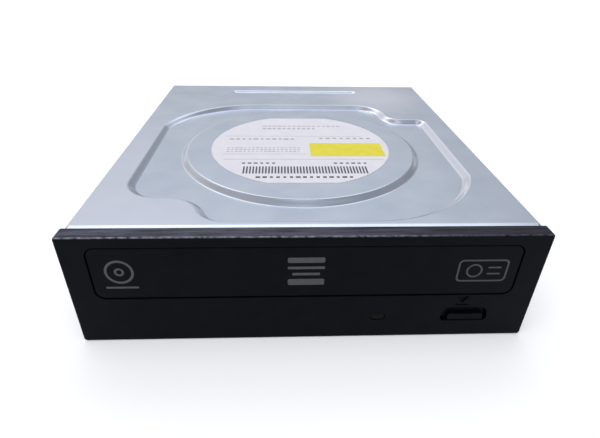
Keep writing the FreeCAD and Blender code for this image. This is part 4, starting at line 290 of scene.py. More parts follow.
# %% Finishes seen from outside
finishes = {
    "cover_steel": finish("zinc_coated_steel", tone(198, 207, 222), tone(209, 217, 230),
                          rough=(0.2, 0.28), grain=0.6, bump=0.004, metal=1.0, patch=14),
    "plate_steel": finish("plain_zinc_plate", tone(178, 182, 188), tone(200, 204, 210),
                          rough=(0.3, 0.45), grain=0.5, bump=0.006, metal=1.0, patch=8),
    "black_plastic": finish("spark_textured_black", tone(4, 5, 9), tone(7, 8, 14),
                            rough=(0.36, 0.5), grain=0.28, bump=0.03, patch=6, Specular_IOR_Level=0.05),
    "lamp_plastic": finish("smoked_lens_plastic", tone(7, 8, 8), tone(10, 11, 11),
                           rough=(0.2, 0.3), grain=0.4, bump=0.004, patch=2, Specular_IOR_Level=0.06),
    "label_paper": finish("coated_label_paper", tone(206, 204, 212), tone(212, 210, 217),
                          rough=(0.4, 0.5), grain=0.2, bump=0.002, patch=5, Specular_IOR_Level=0.3),
    "tray_plastic": finish("black_tray_plastic", tone(24, 24, 26), tone(33, 33, 36),
                           rough=(0.45, 0.6), grain=0.3, bump=0.02, patch=6, Specular_IOR_Level=0.4),
    "screw_steel": finish("nickel_plated_steel", tone(182, 182, 178), tone(206, 206, 200),
                          rough=(0.2, 0.35), grain=0.25, bump=0.003, metal=1.0, patch=2),
}
print("finishes outside", len(finishes))

# %% Finishes of the works inside
finishes.update({
    "frame_plastic": finish("grey_frame_plastic", tone(46, 47, 49), tone(58, 59, 61),
                            rough=(0.5, 0.65), grain=0.3, bump=0.02, patch=6),
    "gear_plastic": finish("natural_acetal", tone(226, 222, 208), tone(238, 234, 222),
                           rough=(0.35, 0.5), grain=0.4, bump=0.006, patch=4),
    "motor_steel": finish("drawn_motor_steel", tone(172, 174, 176), tone(196, 198, 200),
                          rough=(0.25, 0.4), grain=0.3, bump=0.004, metal=1.0, patch=4),
    "rod_steel": finish("ground_rod_steel", tone(200, 202, 206), tone(220, 222, 226),
                        rough=(0.12, 0.22), grain=0.2, bump=0.001, metal=1.0, patch=3),
    "belt_rubber": finish("black_belt_rubber", tone(20, 20, 20), tone(30, 30, 30),
                          rough=(0.7, 0.85), grain=0.2, bump=0.02, patch=3),
    "turntable_plastic": finish("dark_turntable_plastic", tone(34, 35, 38), tone(44, 45, 49),
                                rough=(0.35, 0.5), grain=0.3, bump=0.01, patch=3),
    "sled_metal": finish("die_cast_zinc", tone(140, 142, 146), tone(160, 162, 166),
                         rough=(0.45, 0.6), grain=0.35, bump=0.02, metal=1.0, patch=3),
    "pickup_plastic": finish("black_housing_plastic", tone(22, 22, 24), tone(32, 32, 34),
                             rough=(0.4, 0.55), grain=0.3, bump=0.012, patch=3),
    "lens_glass": finish("coated_lens_glass", tone(150, 160, 190), tone(165, 175, 205),
                         rough=(0.04, 0.08), grain=0.3, bump=0.0005, patch=2),
    "board_laminate": finish("green_board_laminate", tone(18, 74, 48), tone(26, 92, 60),
                             rough=(0.35, 0.5), grain=0.5, bump=0.006, patch=2.5),
    "can_aluminium": finish("sleeved_aluminium", tone(190, 192, 196), tone(214, 216, 220),
                            rough=(0.3, 0.42), grain=0.3, bump=0.004, metal=1.0, patch=3),
    "ribbon_film": finish("white_ribbon_film", tone(222, 224, 228), tone(236, 238, 240),
                          rough=(0.35, 0.45), grain=0.4, bump=0.003, patch=3),
})
print("finishes in all", len(finishes))


# %% [markdown]
# Two finishes carry painted light and shade. The top face of the moulded front is painted a streaky
# lighter grey: its streaks are scuffs, and the lighter tone, strongest on the left, is painted sheen. Its
# front corner carries a painted highlight broken into pale flecks. The lid is darker along its side
# folds, and every face of it that does not face up is painted with shade. In the pressed field, walls
# that face the right or the rear carry painted shade and those that face left a painted highlight, and
# the flat sheet carries painted highlights at the left front and at the right rear corner. All are masks
# made from the place and the direction of the surface, so they stay put when the camera moves.


# %% A colour over a finish
def tint(material, amount, colour):
    """Mixes a second colour over a finish's own by a mask."""
    tree = material.node_tree
    socket = tree.nodes["Principled BSDF"].inputs["Base Color"]
    under = socket.links[0].from_socket
    mix = add(tree, "ShaderNodeMix", {"data_type": "RGBA"}, n0=amount, n6=under, n7=colour)
    tree.links.new(mix.outputs[2], socket)


def surface(tree):
    """The place of each point of a surface, and the direction that it faces."""
    place = add(tree, "ShaderNodeTexCoord").outputs["Object"]
    return place, add(tree, "ShaderNodeNewGeometry").outputs["Normal"]


# %% Scuffs with a painted sheen, and a painted highlight, on the front
LONG_STREAKS = (60, 900, 900)
SHORT_FLECKS = (600, 900, 900)
plastic = finishes["black_plastic"].node_tree
place, facing = surface(plastic)
axes = axes_of(plastic, place)


def drawn_out(scale, **look):
    """Noise drawn out along the front by its scale on each axis."""
    stretched = add(plastic, "ShaderNodeMapping", Vector=place, Scale=scale).outputs["Vector"]
    return add(plastic, "ShaderNodeTexNoise", Vector=stretched, Scale=1.0, **look).outputs["Fac"]


streaks = drawn_out(LONG_STREAKS, Detail=4.0, Roughness=0.7)
# Partly scuffs, partly painted sheen: the upward faces at the top of the front are painted a streaky lighter
# grey. The streaks are scuffs, and the lighter tone that grows to the left is painted sheen.
scuffs_and_sheen = sums(plastic, "MULTIPLY", mask(plastic, axes_of(plastic, facing)["Z"], low=0.75, high=0.97),
              mask(plastic, axes["Z"], low=brim - 0.9 * MM, high=brim - 0.1 * MM),
              mask(plastic, streaks, low=0.2, high=0.75),
              mask(plastic, axes["X"], low=-30 * MM, high=70 * MM, start=1.0, end=0.3))
tint(finishes["black_plastic"], scuffs_and_sheen, tone(92, 92, 107))
flecks = drawn_out(SHORT_FLECKS, Detail=3.0)
# Painted highlight: a pale line along the top front edge of the front, broken into flecks and fading towards
# the right.
painted_edge_highlight = sums(plastic, "MULTIPLY", mask(plastic, axes["Y"], low=front + 0.55 * MM, high=front + 0.3 * MM),
                 mask(plastic, axes["Z"], low=brim - 0.6 * MM, high=brim - 0.2 * MM),
                 mask(plastic, flecks, low=0.2, high=0.75),
                 mask(plastic, axes["X"], low=-10 * MM, high=70 * MM, start=1.0, end=0.25))
tint(finishes["black_plastic"], painted_edge_highlight, tone(126, 126, 138))
print("front's finish made of", len(plastic.nodes), "nodes")

# %% Darker folds, and painted shade and highlights on the walls of the lid
RIGHT_AND_REAR = (0.45, 1, 0)
LEFT = (-1, 0, 0)
coated = finishes["cover_steel"]
sheet = coated.node_tree
place, facing = surface(sheet)
axes = axes_of(sheet, place)
folded = sums(sheet, "MULTIPLY",
              mask(sheet, size_alone(sheet, axes["X"]), low=half_case - 1.0 * MM, high=half_case - 0.4 * MM),
              mask(sheet, axes["Z"], low=case_top - 2.5 * MM, high=case_top - 1.0 * MM))
tint(coated, folded, tone(128, 134, 146))
# Painted shade: every face of the lid that does not face up is painted a darker tone.
upward = axes_of(sheet, facing)["Z"]
tint(coated, mask(sheet, upward, low=0.45, high=0.1), tone(158, 165, 178))
slanted = mask(sheet, upward, low=0.5, high=0.7)
# Painted shade on the pressed walls that face the right or the rear.
painted_wall_shade = mask(sheet, measured(sheet, "DOT_PRODUCT", facing, RIGHT_AND_REAR), low=0.02, high=0.22)
tint(coated, sums(sheet, "MULTIPLY", painted_wall_shade, slanted), tone(168, 175, 189))
# Painted highlight on the pressed walls that face left.
painted_wall_highlight = mask(sheet, measured(sheet, "DOT_PRODUCT", facing, LEFT), low=0.05, high=0.3)
tint(coated, sums(sheet, "MULTIPLY", painted_wall_highlight, slanted), tone(236, 239, 248))
print("lid's finish made of", len(sheet.nodes), "nodes so far")

# %% Painted highlights on the flat sheet
LEFT_FRONT = (-0.8, -0.6, 0)
ISLAND_TOP = (0, island_place, case_top)
REAR_CORNER = (46 * MM, front + 142.5 * MM, case_top)
HIGHLIGHT_SHARE = 0.55
toward_front = mask(sheet, measured(sheet, "DOT_PRODUCT", place, LEFT_FRONT), low=0.0, high=85 * MM)
off_island = mask(sheet, measured(sheet, "DISTANCE", place, ISLAND_TOP), low=50 * MM, high=56 * MM)
near_corner = mask(sheet, measured(sheet, "DISTANCE", place, REAR_CORNER), low=34 * MM, high=4 * MM,
                   start=0.0, end=1.9)
# Painted highlights: the flat sheet is painted lighter towards the left front, away from the island, and
# round the right rear corner.
painted_sheet_highlight = sums(sheet, "MAXIMUM", sums(sheet, "MULTIPLY", toward_front, off_island), near_corner)
level_sheet = mask(sheet, axes["Z"], low=case_top - 0.4 * MM, high=case_top - 0.05 * MM)
tint(coated, sums(sheet, "MULTIPLY", painted_sheet_highlight, level_sheet, HIGHLIGHT_SHARE), tone(232, 234, 246))
print("lid's finish made of", len(sheet.nodes), "nodes")

# %% Finishes on the CAD nodes
slots = {entry["node"]: entry["material_slot"] for entry in frame["record"]["subparts"]}
for name, slot in slots.items():
    nodes[name].data.materials.clear()
    nodes[name].data.materials.append(finishes[slot])
print("nodes with a finish", len(slots))

# %% [markdown]
# ## Tools for Geometry Nodes
# A Geometry Nodes tree is a recipe with named sizes: change one and the shape is made anew. Each tree
# here is built in code, run once, and its result kept as a plain mesh, because a model that travels to
# other programs carries meshes and not recipes.


# %% A new recipe and its sizes
def new_tree(name, **inputs):
    """An empty tree with named inputs, the outputs of its start and the input of its end."""
    tree = bpy.data.node_groups.new(name, "GeometryNodeTree")
    tree.interface.new_socket("Geometry", in_out="INPUT", socket_type="NodeSocketGeometry")
    for label, kind in inputs.items():
        tree.interface.new_socket(label.replace("_", " "), in_out="INPUT", socket_type="NodeSocket" + kind)
    tree.interface.new_socket("Geometry", in_out="OUTPUT", socket_type="NodeSocketGeometry")
    start, end = add(tree, "NodeGroupInput"), add(tree, "NodeGroupOutput")
    return tree, {s.name.replace(" ", "_"): s for s in start.outputs}, end.inputs["Geometry"]


def given_tree(tree, piece, **values):
    """Puts a tree on a piece, with its sizes set before anything is worked out."""
    work = piece.modifiers.new("shape", "NODES")
    work.node_group = tree
    names = {s.name: s.identifier for s in tree.interface.items_tree if s.in_out == "INPUT"}
    for label, value in values.items():
        work[names[label.replace("_", " ")]] = value


# %% Pieces and their plain meshes
def new_piece(name, data):
    """An object at the origin, with its place in its mesh."""
    piece = bpy.data.objects.new(name, data)
    stage.collection.objects.link(piece)
    return piece


def settled(piece):
    """The piece as its modifiers leave it, on a plain mesh of its own."""
    bpy.context.view_layer.update()
    mesh = bpy.data.meshes.new_from_object(piece.evaluated_get(bpy.context.evaluated_depsgraph_get()))
    name = piece.name
    bpy.data.objects.remove(piece)
    mesh.name = name
    return new_piece(name, mesh)


# %% Small steps inside a tree
def spot(tree, x=0.0, y=0.0, z=0.0):
    """A place from three numbers or links."""
    return add(tree, "ShaderNodeCombineXYZ", X=x, Y=y, Z=z).outputs["Vector"]


def joined(tree, *shapes):
    """Several shapes as one."""
    node = add(tree, "GeometryNodeJoinGeometry")
    for shape in shapes:
        tree.links.new(shape, node.inputs[0])
    return node.outputs[0]


def moved(tree, shape, **where):
    """A shape with a translation, rotation or scale."""
    return add(tree, "GeometryNodeTransform", Geometry=shape, **where).outputs["Geometry"]


def ended(tree, shape, look, end):
    """Closes a recipe: real geometry, with its finish, at the tree's end."""
    shape = add(tree, "GeometryNodeRealizeInstances", Geometry=shape).outputs["Geometry"]
    shape = add(tree, "GeometryNodeSetMaterial", Geometry=shape, Material=look).outputs["Geometry"]
    tree.links.new(shape, end)


# %% [markdown]
# ## Pressed top cover
# The lid is one sheet of zinc-coated steel. A press pushes a wide field down by about two sheet
# thicknesses, and leaves a round island standing in it where the disc is clamped. The pressed wall is
# a rounded step that follows the field's outline, so it is made as a profile swept along a path. A
# height map on a grid would need far more faces, and its diagonal edges would show steps in the gloss.


# %% The step, the wall it makes and the flat sheet between
STEP_LEAD = 0.3
FOOT_SHARE = 0.9
ONE_FACE_ONLY = 1.5


def upright_path(tree, curve):
    """A path along which a swept profile stays upright."""
    return add(tree, "GeometryNodeSetCurveNormal", {"mode": "Z_UP"}, Curve=curve).outputs["Curve"]


def other_way(tree, curve):
    """A path run from its end to its start, so that its wall falls to the other side."""
    return add(tree, "GeometryNodeReverseCurve", Curve=curve).outputs["Curve"]


def step_profile(tree, run, drop):
    """The rounded S of a pressed step, level at both ends."""
    lead = sums(tree, "MULTIPLY", run, STEP_LEAD)
    rest = sums(tree, "SUBTRACT", run, lead)
    step = add(tree, "GeometryNodeCurvePrimitiveBezierSegment", Resolution=14, Start=(0, 0, 0),
               Start_Handle=spot(tree, lead), End_Handle=spot(tree, rest, drop), End=spot(tree, run, drop))
    return step.outputs["Curve"]


def pressed_wall(tree, path, profile, drop):
    """The wall along a path, and the loop at its foot: its open edges in the lowest tenth."""
    wall = add(tree, "GeometryNodeCurveToMesh", Curve=path, Profile_Curve=profile).outputs["Mesh"]
    height = axes_of(tree, add(tree, "GeometryNodeInputPosition").outputs[0])["Z"]
    low = sums(tree, "LESS_THAN", height, sums(tree, "MULTIPLY", drop, -FOOT_SHARE))
    faces_beside = add(tree, "GeometryNodeInputMeshEdgeNeighbors").outputs[0]
    open_edge = sums(tree, "LESS_THAN", faces_beside, ONE_FACE_ONLY)
    foot = sums(tree, "MULTIPLY", low, open_edge)
    return wall, add(tree, "GeometryNodeMeshToCurve", Mesh=wall, Selection=foot).outputs["Curve"]


def flat_sheet(tree, *loops):
    """The flat sheet between closed loops."""
    return add(tree, "GeometryNodeFillCurve", Curve=joined(tree, *loops)).outputs["Mesh"]


# %% The recipe of the pressed sheet
lengths = ("Drop", "Slope", "Half_width", "Front", "Rear", "Island_radius", "Island_place",
           "Bead_half", "Bead_front", "Bead_rear", "Bead_drop", "Bead_slope", "Level", "Lip_run", "Lip_drop")
press, size_of, sheet_end = new_tree("pressed_sheet", **{n: "Float" for n in lengths}, Finish="Material")
rounded = add(press, "GeometryNodeFilletCurve", {"mode": "POLY"}, Curve=size_of["Geometry"], Count=18,
              Radius=add(press, "GeometryNodeInputRadius").outputs[0], Limit_Radius=True).outputs["Curve"]
rounded = add(press, "GeometryNodeSetCurveRadius", Curve=rounded, Radius=1.0).outputs["Curve"]
rounded = upright_path(press, rounded)
fall = size_of["Drop"]
profile = step_profile(press, size_of["Slope"], fall)
field_wall, field_foot = pressed_wall(press, other_way(press, rounded), profile, fall)

rim = add(press, "GeometryNodeCurvePrimitiveCircle", Resolution=160, Radius=size_of["Island_radius"])
rim = moved(press, rim.outputs["Curve"], Translation=spot(press, 0.0, size_of["Island_place"]))
rim = upright_path(press, rim)
island_wall, island_foot = pressed_wall(press, rim, profile, fall)
print("nodes in the sheet's recipe so far", len(press.nodes))

# %% The bead at the rear
# Ends rounded by a full half of the bead's depth would make the loop at its foot cross itself.
BEAD_ROUNDING = 0.45
bead_wide = sums(press, "MULTIPLY", size_of["Bead_half"], 2.0)
bead_deep = sums(press, "SUBTRACT", size_of["Bead_rear"], size_of["Bead_front"])
bead_place = sums(press, "MULTIPLY", sums(press, "ADD", size_of["Bead_rear"], size_of["Bead_front"]), 0.5)
bead = add(press, "GeometryNodeCurvePrimitiveQuadrilateral", Width=bead_wide, Height=bead_deep)
bead = add(press, "GeometryNodeFilletCurve", {"mode": "POLY"}, Curve=bead.outputs["Curve"], Count=8,
           Limit_Radius=True, Radius=sums(press, "MULTIPLY", bead_deep, BEAD_ROUNDING)).outputs["Curve"]
bead = upright_path(press, moved(press, bead, Translation=spot(press, 0.0, bead_place)))
bead_fall = size_of["Bead_drop"]
bead_profile = step_profile(press, size_of["Bead_slope"], bead_fall)
bead_wall, bead_foot = pressed_wall(press, other_way(press, bead), bead_profile, bead_fall)
print("nodes with the bead", len(press.nodes))

# %% The lip at the front
LIP_LEAD = 0.4
lip_line = sums(press, "ADD", size_of["Front"], size_of["Lip_run"])
left_end = sums(press, "MULTIPLY", size_of["Half_width"], -1.0)
lip_path = add(press, "GeometryNodeCurvePrimitiveLine", Start=spot(press, left_end, lip_line),
               End=spot(press, size_of["Half_width"], lip_line)).outputs["Curve"]
lip_lead = sums(press, "MULTIPLY", size_of["Lip_run"], LIP_LEAD)
lip_profile = add(press, "GeometryNodeCurvePrimitiveBezierSegment", Resolution=8, Start=(0, 0, 0),
                  Start_Handle=spot(press, lip_lead), End_Handle=spot(press, lip_lead, size_of["Lip_drop"]),
                  End=spot(press, size_of["Lip_run"], size_of["Lip_drop"])).outputs["Curve"]
lip = add(press, "GeometryNodeCurveToMesh", Curve=upright_path(press, lip_path), Profile_Curve=lip_profile)
print("nodes with the lip", len(press.nodes))

# %% The flat parts, and all as one sheet
SEAM = 0.02 * MM
deep = sums(press, "SUBTRACT", size_of["Rear"], lip_line)
middle = sums(press, "MULTIPLY", sums(press, "ADD", size_of["Rear"], lip_line), 0.5)
edge = add(press, "GeometryNodeCurvePrimitiveQuadrilateral", Height=deep,
           Width=sums(press, "MULTIPLY", size_of["Half_width"], 2.0)).outputs["Curve"]
edge = moved(press, edge, Translation=spot(press, 0.0, middle))
upper = joined(press, flat_sheet(press, edge, rounded, bead), flat_sheet(press, rim))
lower = moved(press, flat_sheet(press, field_foot, island_foot),
              Translation=spot(press, z=sums(press, "MULTIPLY", fall, -1.0)))
bead_floor = moved(press, flat_sheet(press, bead_foot),
                   Translation=spot(press, z=sums(press, "MULTIPLY", bead_fall, -1.0)))
walls = joined(press, field_wall, island_wall, bead_wall)
walls = add(press, "GeometryNodeSetShadeSmooth", Geometry=walls, Shade_Smooth=True).outputs[0]
flats = joined(press, upper, lower, bead_floor, lip.outputs["Mesh"])
flats = add(press, "GeometryNodeSetShadeSmooth", Geometry=flats, Shade_Smooth=False).outputs[0]
whole = moved(press, joined(press, walls, flats), Translation=spot(press, z=size_of["Level"]))
whole = add(press, "GeometryNodeMergeByDistance", Geometry=whole, Distance=SEAM).outputs["Geometry"]
ended(press, whole, size_of["Finish"], sheet_end)
print("nodes in the sheet's recipe", len(press.nodes))

# %% The field's outline and the sheet itself
# Each corner has its x, its distance behind the front and its rounding, in mm.
field_corners = [(-63.3, 24, 14), (-39.2, 24, 11), (-32.8, 8.7, 11), (54, 8.7, 43), (63.3, 41.45, 0),
                 (63.3, 104.7, 5), (44.9, 104.7, 7.4), (44.9, 127.7, 15), (-54, 127.7, 43), (-63.3, 94.95, 0)]
outline = bpy.data.curves.new("field_outline", "CURVE")
outline.dimensions = "3D"
path = outline.splines.new("POLY")
path.points.add(len(field_corners) - 1)
for point, (x, back, radius) in zip(path.points, field_corners):
    point.co = (x * MM, front + back * MM, 0, 1)
    point.radius = radius * MM
path.use_cyclic_u = True
steel, bend = 0.8 * MM, 1.0 * MM
fold_line = half_case - bend
lid = new_piece("pressed_lid", outline)
given_tree(press, lid, Drop=1.8 * MM, Slope=2.9 * MM, Half_width=fold_line, Front=cover_front,
           Rear=rear - steel, Island_radius=46.8 * MM, Island_place=island_place, Bead_half=36.5 * MM,
           Bead_front=front + 149.5 * MM, Bead_rear=front + 155.5 * MM, Bead_drop=0.9 * MM,
           Bead_slope=2.58 * MM, Level=case_top, Lip_run=2.6 * MM, Lip_drop=0.3 * MM,
           Finish=finishes["cover_steel"])
thickness = lid.modifiers.new("thickness", "SOLIDIFY")
thickness.thickness = steel
thickness.offset = -1
lid = settled(lid)
print("lid faces", len(lid.data.polygons))


# %% [markdown]
# ## The lid's folded walls
# The sides and the rear of the lid are the same sheet folded down, with holes for the screws that hold
# the drive in a bay. The CAD solid already has them exactly, so they are cut from a merged copy of it
# at the lines where the bends begin, and the cuts are closed.


# %% Copies of CAD pieces
SAME_POINT = 0.001 * MM
ON_PLANE = 0.0001 * MM


def merged(node):
    """A CAD node's loose triangles as one connected mesh to work on."""
    work = bmesh.new()
    work.from_mesh(nodes[node].data)
    bmesh.ops.remove_doubles(work, verts=work.verts, dist=SAME_POINT)
    return work


def cut_away(work, point, normal):
    """Removes what lies beyond a plane and closes the cut."""
    everything = work.verts[:] + work.edges[:] + work.faces[:]
    rim = bmesh.ops.bisect_plane(work, geom=everything, dist=ON_PLANE, plane_co=point, plane_no=normal,
                                 clear_outer=True)["geom_cut"]
    bmesh.ops.holes_fill(work, edges=[e for e in rim if isinstance(e, bmesh.types.BMEdge)], sides=0)


def crisp(work, degrees=32):
    """Smooth shading that stops at real edges."""
    for face in work.faces:
        face.smooth = True
    for edge in work.edges:
        edge.smooth = len(edge.link_faces) == 2 and edge.calc_face_angle(0) < math.radians(degrees)


# %% Sides and rear of the lid
right_fold, left_fold, rear_fold = (fold_line, 0, 0), (-fold_line, 0, 0), (0, rear - steel, 0)
fold_cuts = [[(right_fold, (-1, 0, 0))], [(left_fold, (1, 0, 0))],
             [(rear_fold, (0, -1, 0)), (right_fold, (1, 0, 0)), (left_fold, (-1, 0, 0))]]
folds = bmesh.new()
for cuts in fold_cuts:
    wall = merged("top_cover")
    for point, beyond in cuts:
        cut_away(wall, point, beyond)
    crisp(wall)
    part = bpy.data.meshes.new("fold")
    wall.to_mesh(part)
    folds.from_mesh(part)
    wall.free()
folds.from_mesh(lid.data)
for face in folds.faces:
    face.material_index = 0
folds.to_mesh(lid.data)
folds.free()
lid.data.materials.clear()
lid.data.materials.append(finishes["cover_steel"])
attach(lid, "case")
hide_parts("top_cover")
print("lid with its folds", len(lid.data.polygons), "faces")

# %% [markdown]
# ## Moulded pieces with true edges
# The CAD nodes of the front, the door, the button and the drawer have the right shape, but their
# triangles are loose and shade flat, so small roundings look cut. A merged copy with smooth shading
# and weighted normals keeps every size and lets the roundings catch a clean line of light.


# %% Polished copies
def polished(node, body, cutter=None):
    """A smooth-shaded copy that stands for a CAD node, with a cutter taken out where one is given."""
    work = merged(node)
    crisp(work)
    mesh = bpy.data.meshes.new(node + "_shell")
    work.to_mesh(mesh)
    work.free()
    mesh.materials.append(finishes[slots[node]])
    piece = new_piece(node + "_shell", mesh)
    if cutter:
        bite = piece.modifiers.new("mark", "BOOLEAN")
        bite.object = cutter
        bite.solver = "EXACT"
    even = piece.modifiers.new("even", "WEIGHTED_NORMAL")
    even.keep_sharp = True
    piece = settled(piece)
    if cutter:
        bpy.data.objects.remove(cutter)
    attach(piece, body)
    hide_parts(node)
    return piece


# %% [markdown]
# ## Marks on the front
# The front carries a small sunk triangle over the button, which is the common sign for opening the
# drawer, and three printed places on the door. The prints here are plain rings, bars and a frame of no
# one's design. Each is a flat curve with a hair's thickness, turned into a mesh and then set on its
# face, so it rides with the door when the drawer comes out.


# %% Flat shapes in millimetres
def circle(x, z, radius, count=48):
    """The points of a circle."""
    angles = [2 * math.pi * i / count for i in range(count)]
    return [(x + radius * math.cos(a), z + radius * math.sin(a)) for a in angles]


def bar(left, right, low, high, radius=0.0, count=6):
    """The points of a bar with rounded ends or corners."""
    if radius == 0:
        return [(left, low), (right, low), (right, high), (left, high)]
    points = []
    centres = [(right - radius, low + radius, -90), (right - radius, high - radius, 0),
               (left + radius, high - radius, 90), (left + radius, low + radius, 180)]
    for x, z, start in centres:
        for i in range(count + 1):
            angle = math.radians(start + 90 * i / count)
            points.append((x + radius * math.cos(angle), z + radius * math.sin(angle)))
    return points


# %% A flat print from such shapes
def printed(name, loops, thick, place, look):
    """Loops filled as a flat print of that thickness, moved into place by a matrix."""
    shape = bpy.data.curves.new(name, "CURVE")
    shape.dimensions = "2D"
    shape.fill_mode = "BOTH"
    shape.extrude = thick * MM / 2
    for loop in loops:
        spline = shape.splines.new("POLY")
        spline.points.add(len(loop) - 1)
        for point, (x, z) in zip(spline.points, loop):
            point.co = (x * MM, z * MM, 0, 1)
        spline.use_cyclic_u = True
    piece = settled(new_piece(name, shape))
    piece.data.transform(place)
    piece.data.materials.clear()
    piece.data.materials.append(look)
    return piece


# %% The sunk sign over the button
SIGN_THICK = 1.2
upright_plane = Matrix.Rotation(math.radians(90), 4, "X")
sign_loops = [[(48.7, 17.5), (53.1, 17.5), (50.9, 14.7)], bar(48.7, 53.1, 13.7, 14.25)]
on_front = Matrix.Translation((0, front, 0)) @ upright_plane
sign = printed("sign_cutter", sign_loops, SIGN_THICK, on_front, None)
bezel = polished("front_bezel", "case", sign)
door = polished("tray_door", "tray")
knob = polished("eject_button", "button")
lens_cap = polished("led_lens", "case")
drawer = polished("disc_tray", "tray")
print("moulded pieces", [len(o.data.polygons) for o in (bezel, door, knob, lens_cap, drawer)])


# %% Inks
def matt_ink(name, dark, light):
    """A thin matt print in two close tones."""
    return finish(name, dark, light, rough=(0.5, 0.6), grain=0.3, bump=0.002, patch=1.5)


ink = {
    "pale": matt_ink("pale_grey_ink", tone(46, 47, 51), tone(53, 54, 58)),
    "dim": matt_ink("dim_grey_ink", tone(36, 37, 40), tone(43, 44, 47)),
    "dark": matt_ink("dark_label_ink", tone(62, 62, 70), tone(78, 78, 86)),
    "faint": matt_ink("faint_label_ink", tone(150, 150, 160), tone(164, 164, 172)),
    "yellow": finish("yellow_label_ink", tone(206, 194, 22), tone(214, 203, 34),
                     rough=(0.4, 0.5), grain=0.3, bump=0.002, patch=3),
}
print("inks", list(ink))

# %% Prints on the door
DOOR_PRINT = 0.04
door_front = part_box("tray_door")[0][1]
on_door = Matrix.Translation((0, door_front, 0)) @ upright_plane
ring_mark = [circle(-57.3, 28.7, radius) for radius in (4.4, 3.6, 1.5, 0.8)]
ring_mark.append(bar(-62.3, -52.3, 22.4, 23.1, 0.3))
bar_mark = [bar(-6.4, 5.0, 31.6, 33.6, 0.6), bar(-6.4, 5.0, 29.2, 30.2, 0.3),
            bar(-5.0, 3.6, 26.8, 27.8, 0.3), bar(-6.4, 5.0, 23.0, 25.4, 0.6)]
frame_mark = [bar(46.6, 62.6, 23.6, 32.2, 1.6), bar(47.2, 62.0, 24.2, 31.6, 1.1),
              circle(52.0, 27.9, 2.6), circle(52.0, 27.9, 2.0),
              bar(56.2, 60.4, 28.8, 29.4, 0.25), bar(56.2, 60.4, 26.4, 27.0, 0.25)]
marks = (("ring_mark", ring_mark, "pale"), ("bar_mark", bar_mark, "pale"), ("frame_mark", frame_mark, "dim"))
for name, loops, look in marks:
    mark = printed(name, loops, DOOR_PRINT, on_door, ink[look])
    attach(mark, "tray")
print("door prints", len(marks), "at", round(door_front / MM, 3))

# %% [markdown]
# ## Print on the label
# The round label carries rules, rows of small print, a coloured panel and a row of upright ticks. None
# of it says anything here: the rows are dashes of chance lengths, the ticks are all alike and the panel
# is plain. Rows of the same thing are what Geometry Nodes are for, so one recipe with a count, a pitch
# and a fixed seed makes them all.

# %% The recipe of a printed row
row_sizes = {"Count": "Int", "Pitch": "Float", "Width": "Float", "Height": "Float", "Thick": "Float",
             "Shortest": "Float", "Seed": "Int", "Start": "Vector", "Finish": "Material"}
row, row_of, row_end = new_tree("printed_row", **row_sizes)
line = add(row, "GeometryNodeMeshLine", Count=row_of["Count"], Start_Location=row_of["Start"],
           Offset=spot(row, row_of["Pitch"])).outputs["Mesh"]
dash_size = spot(row, row_of["Width"], row_of["Height"], row_of["Thick"])
dash = add(row, "GeometryNodeMeshCube", Size=dash_size).outputs["Mesh"]
chance = add(row, "FunctionNodeRandomValue", n2=row_of["Shortest"], n3=1.0, n8=row_of["Seed"])
dashes = add(row, "GeometryNodeInstanceOnPoints", Points=line, Instance=dash,
             Scale=spot(row, chance.outputs[1], 1.0, 1.0)).outputs["Instances"]
ended(row, dashes, row_of["Finish"], row_end)
print("nodes in the row's recipe", len(row.nodes))

# %% One row on the label
LABEL_PRINT = 0.03
label_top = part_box("top_label")[1][2]
print_level = label_top + LABEL_PRINT * MM / 2


def printed_row(name, left, right, back, count, wide, high, shortest, seed, look):
    """A row of dashes or ticks between two x places, at a distance behind the front."""
    pitch = (right - left) / count
    piece = new_piece(name, bpy.data.meshes.new(name))
    start = ((left + pitch / 2) * MM, front + back * MM, print_level)
    given_tree(row, piece, Count=count, Pitch=pitch * MM, Width=wide * MM, Height=high * MM,
               Thick=LABEL_PRINT * MM, Shortest=shortest, Seed=seed, Start=start, Finish=ink[look])
    piece = settled(piece)
    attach(piece, "case")
    return piece


# %% All rows and the panel
DASH_FACES = 6
# Name, left, right, distance behind the front, count, width and height in mm, shortest share, seed, ink.
rows = [
    printed_row("label_ticks", -23, 25, 45.8, 40, 0.62, 6.2, 1.0, 1, "dark"),
    printed_row("label_rule_top", -33, 28, 81, 1, 61, 0.22, 1.0, 1, "faint"),
    printed_row("label_rule_middle", -32, 2, 61, 1, 34, 0.22, 1.0, 1, "faint"),
    printed_row("label_rule_front", -31, 33, 55.7, 1, 64, 0.25, 1.0, 1, "faint"),
    printed_row("label_line_1", -17, 20, 94, 16, 1.9, 0.9, 0.45, 3, "faint"),
    printed_row("label_line_2", -17, 8, 90.6, 11, 1.9, 1.3, 0.45, 5, "faint"),
    printed_row("label_line_3", -31, -2, 77.5, 11, 2.2, 1.4, 0.5, 7, "faint"),
    printed_row("label_line_4", -31, 0, 67.6, 18, 1.5, 0.7, 0.4, 9, "faint"),
    printed_row("label_line_5", -31, 0, 65.6, 18, 1.5, 0.7, 0.4, 11, "faint"),
    printed_row("label_line_6", -31, 0, 63.6, 18, 1.5, 0.7, 0.4, 13, "faint"),
    printed_row("label_line_7", 8, 32, 78.4, 8, 2.3, 1.3, 0.5, 15, "faint"),
    printed_row("label_line_8", -24, -10, 52, 6, 1.9, 1.1, 0.5, 17, "dark"),
    printed_row("label_line_9", 12, 26, 52, 6, 1.9, 1.1, 0.5, 19, "dark"),
    printed_row("label_line_10", -18, 19, 39.6, 15, 1.9, 1.3, 0.5, 21, "dark"),
]
panel = printed("label_panel", [bar(3.9, 34.6, 58.8, 72.8, 0.4)], LABEL_PRINT,
                Matrix.Translation((0, front, print_level)), ink["yellow"])
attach(panel, "case")
print("label rows", len(rows), "dashes", sum(len(r.data.polygons) for r in rows) // DASH_FACES)

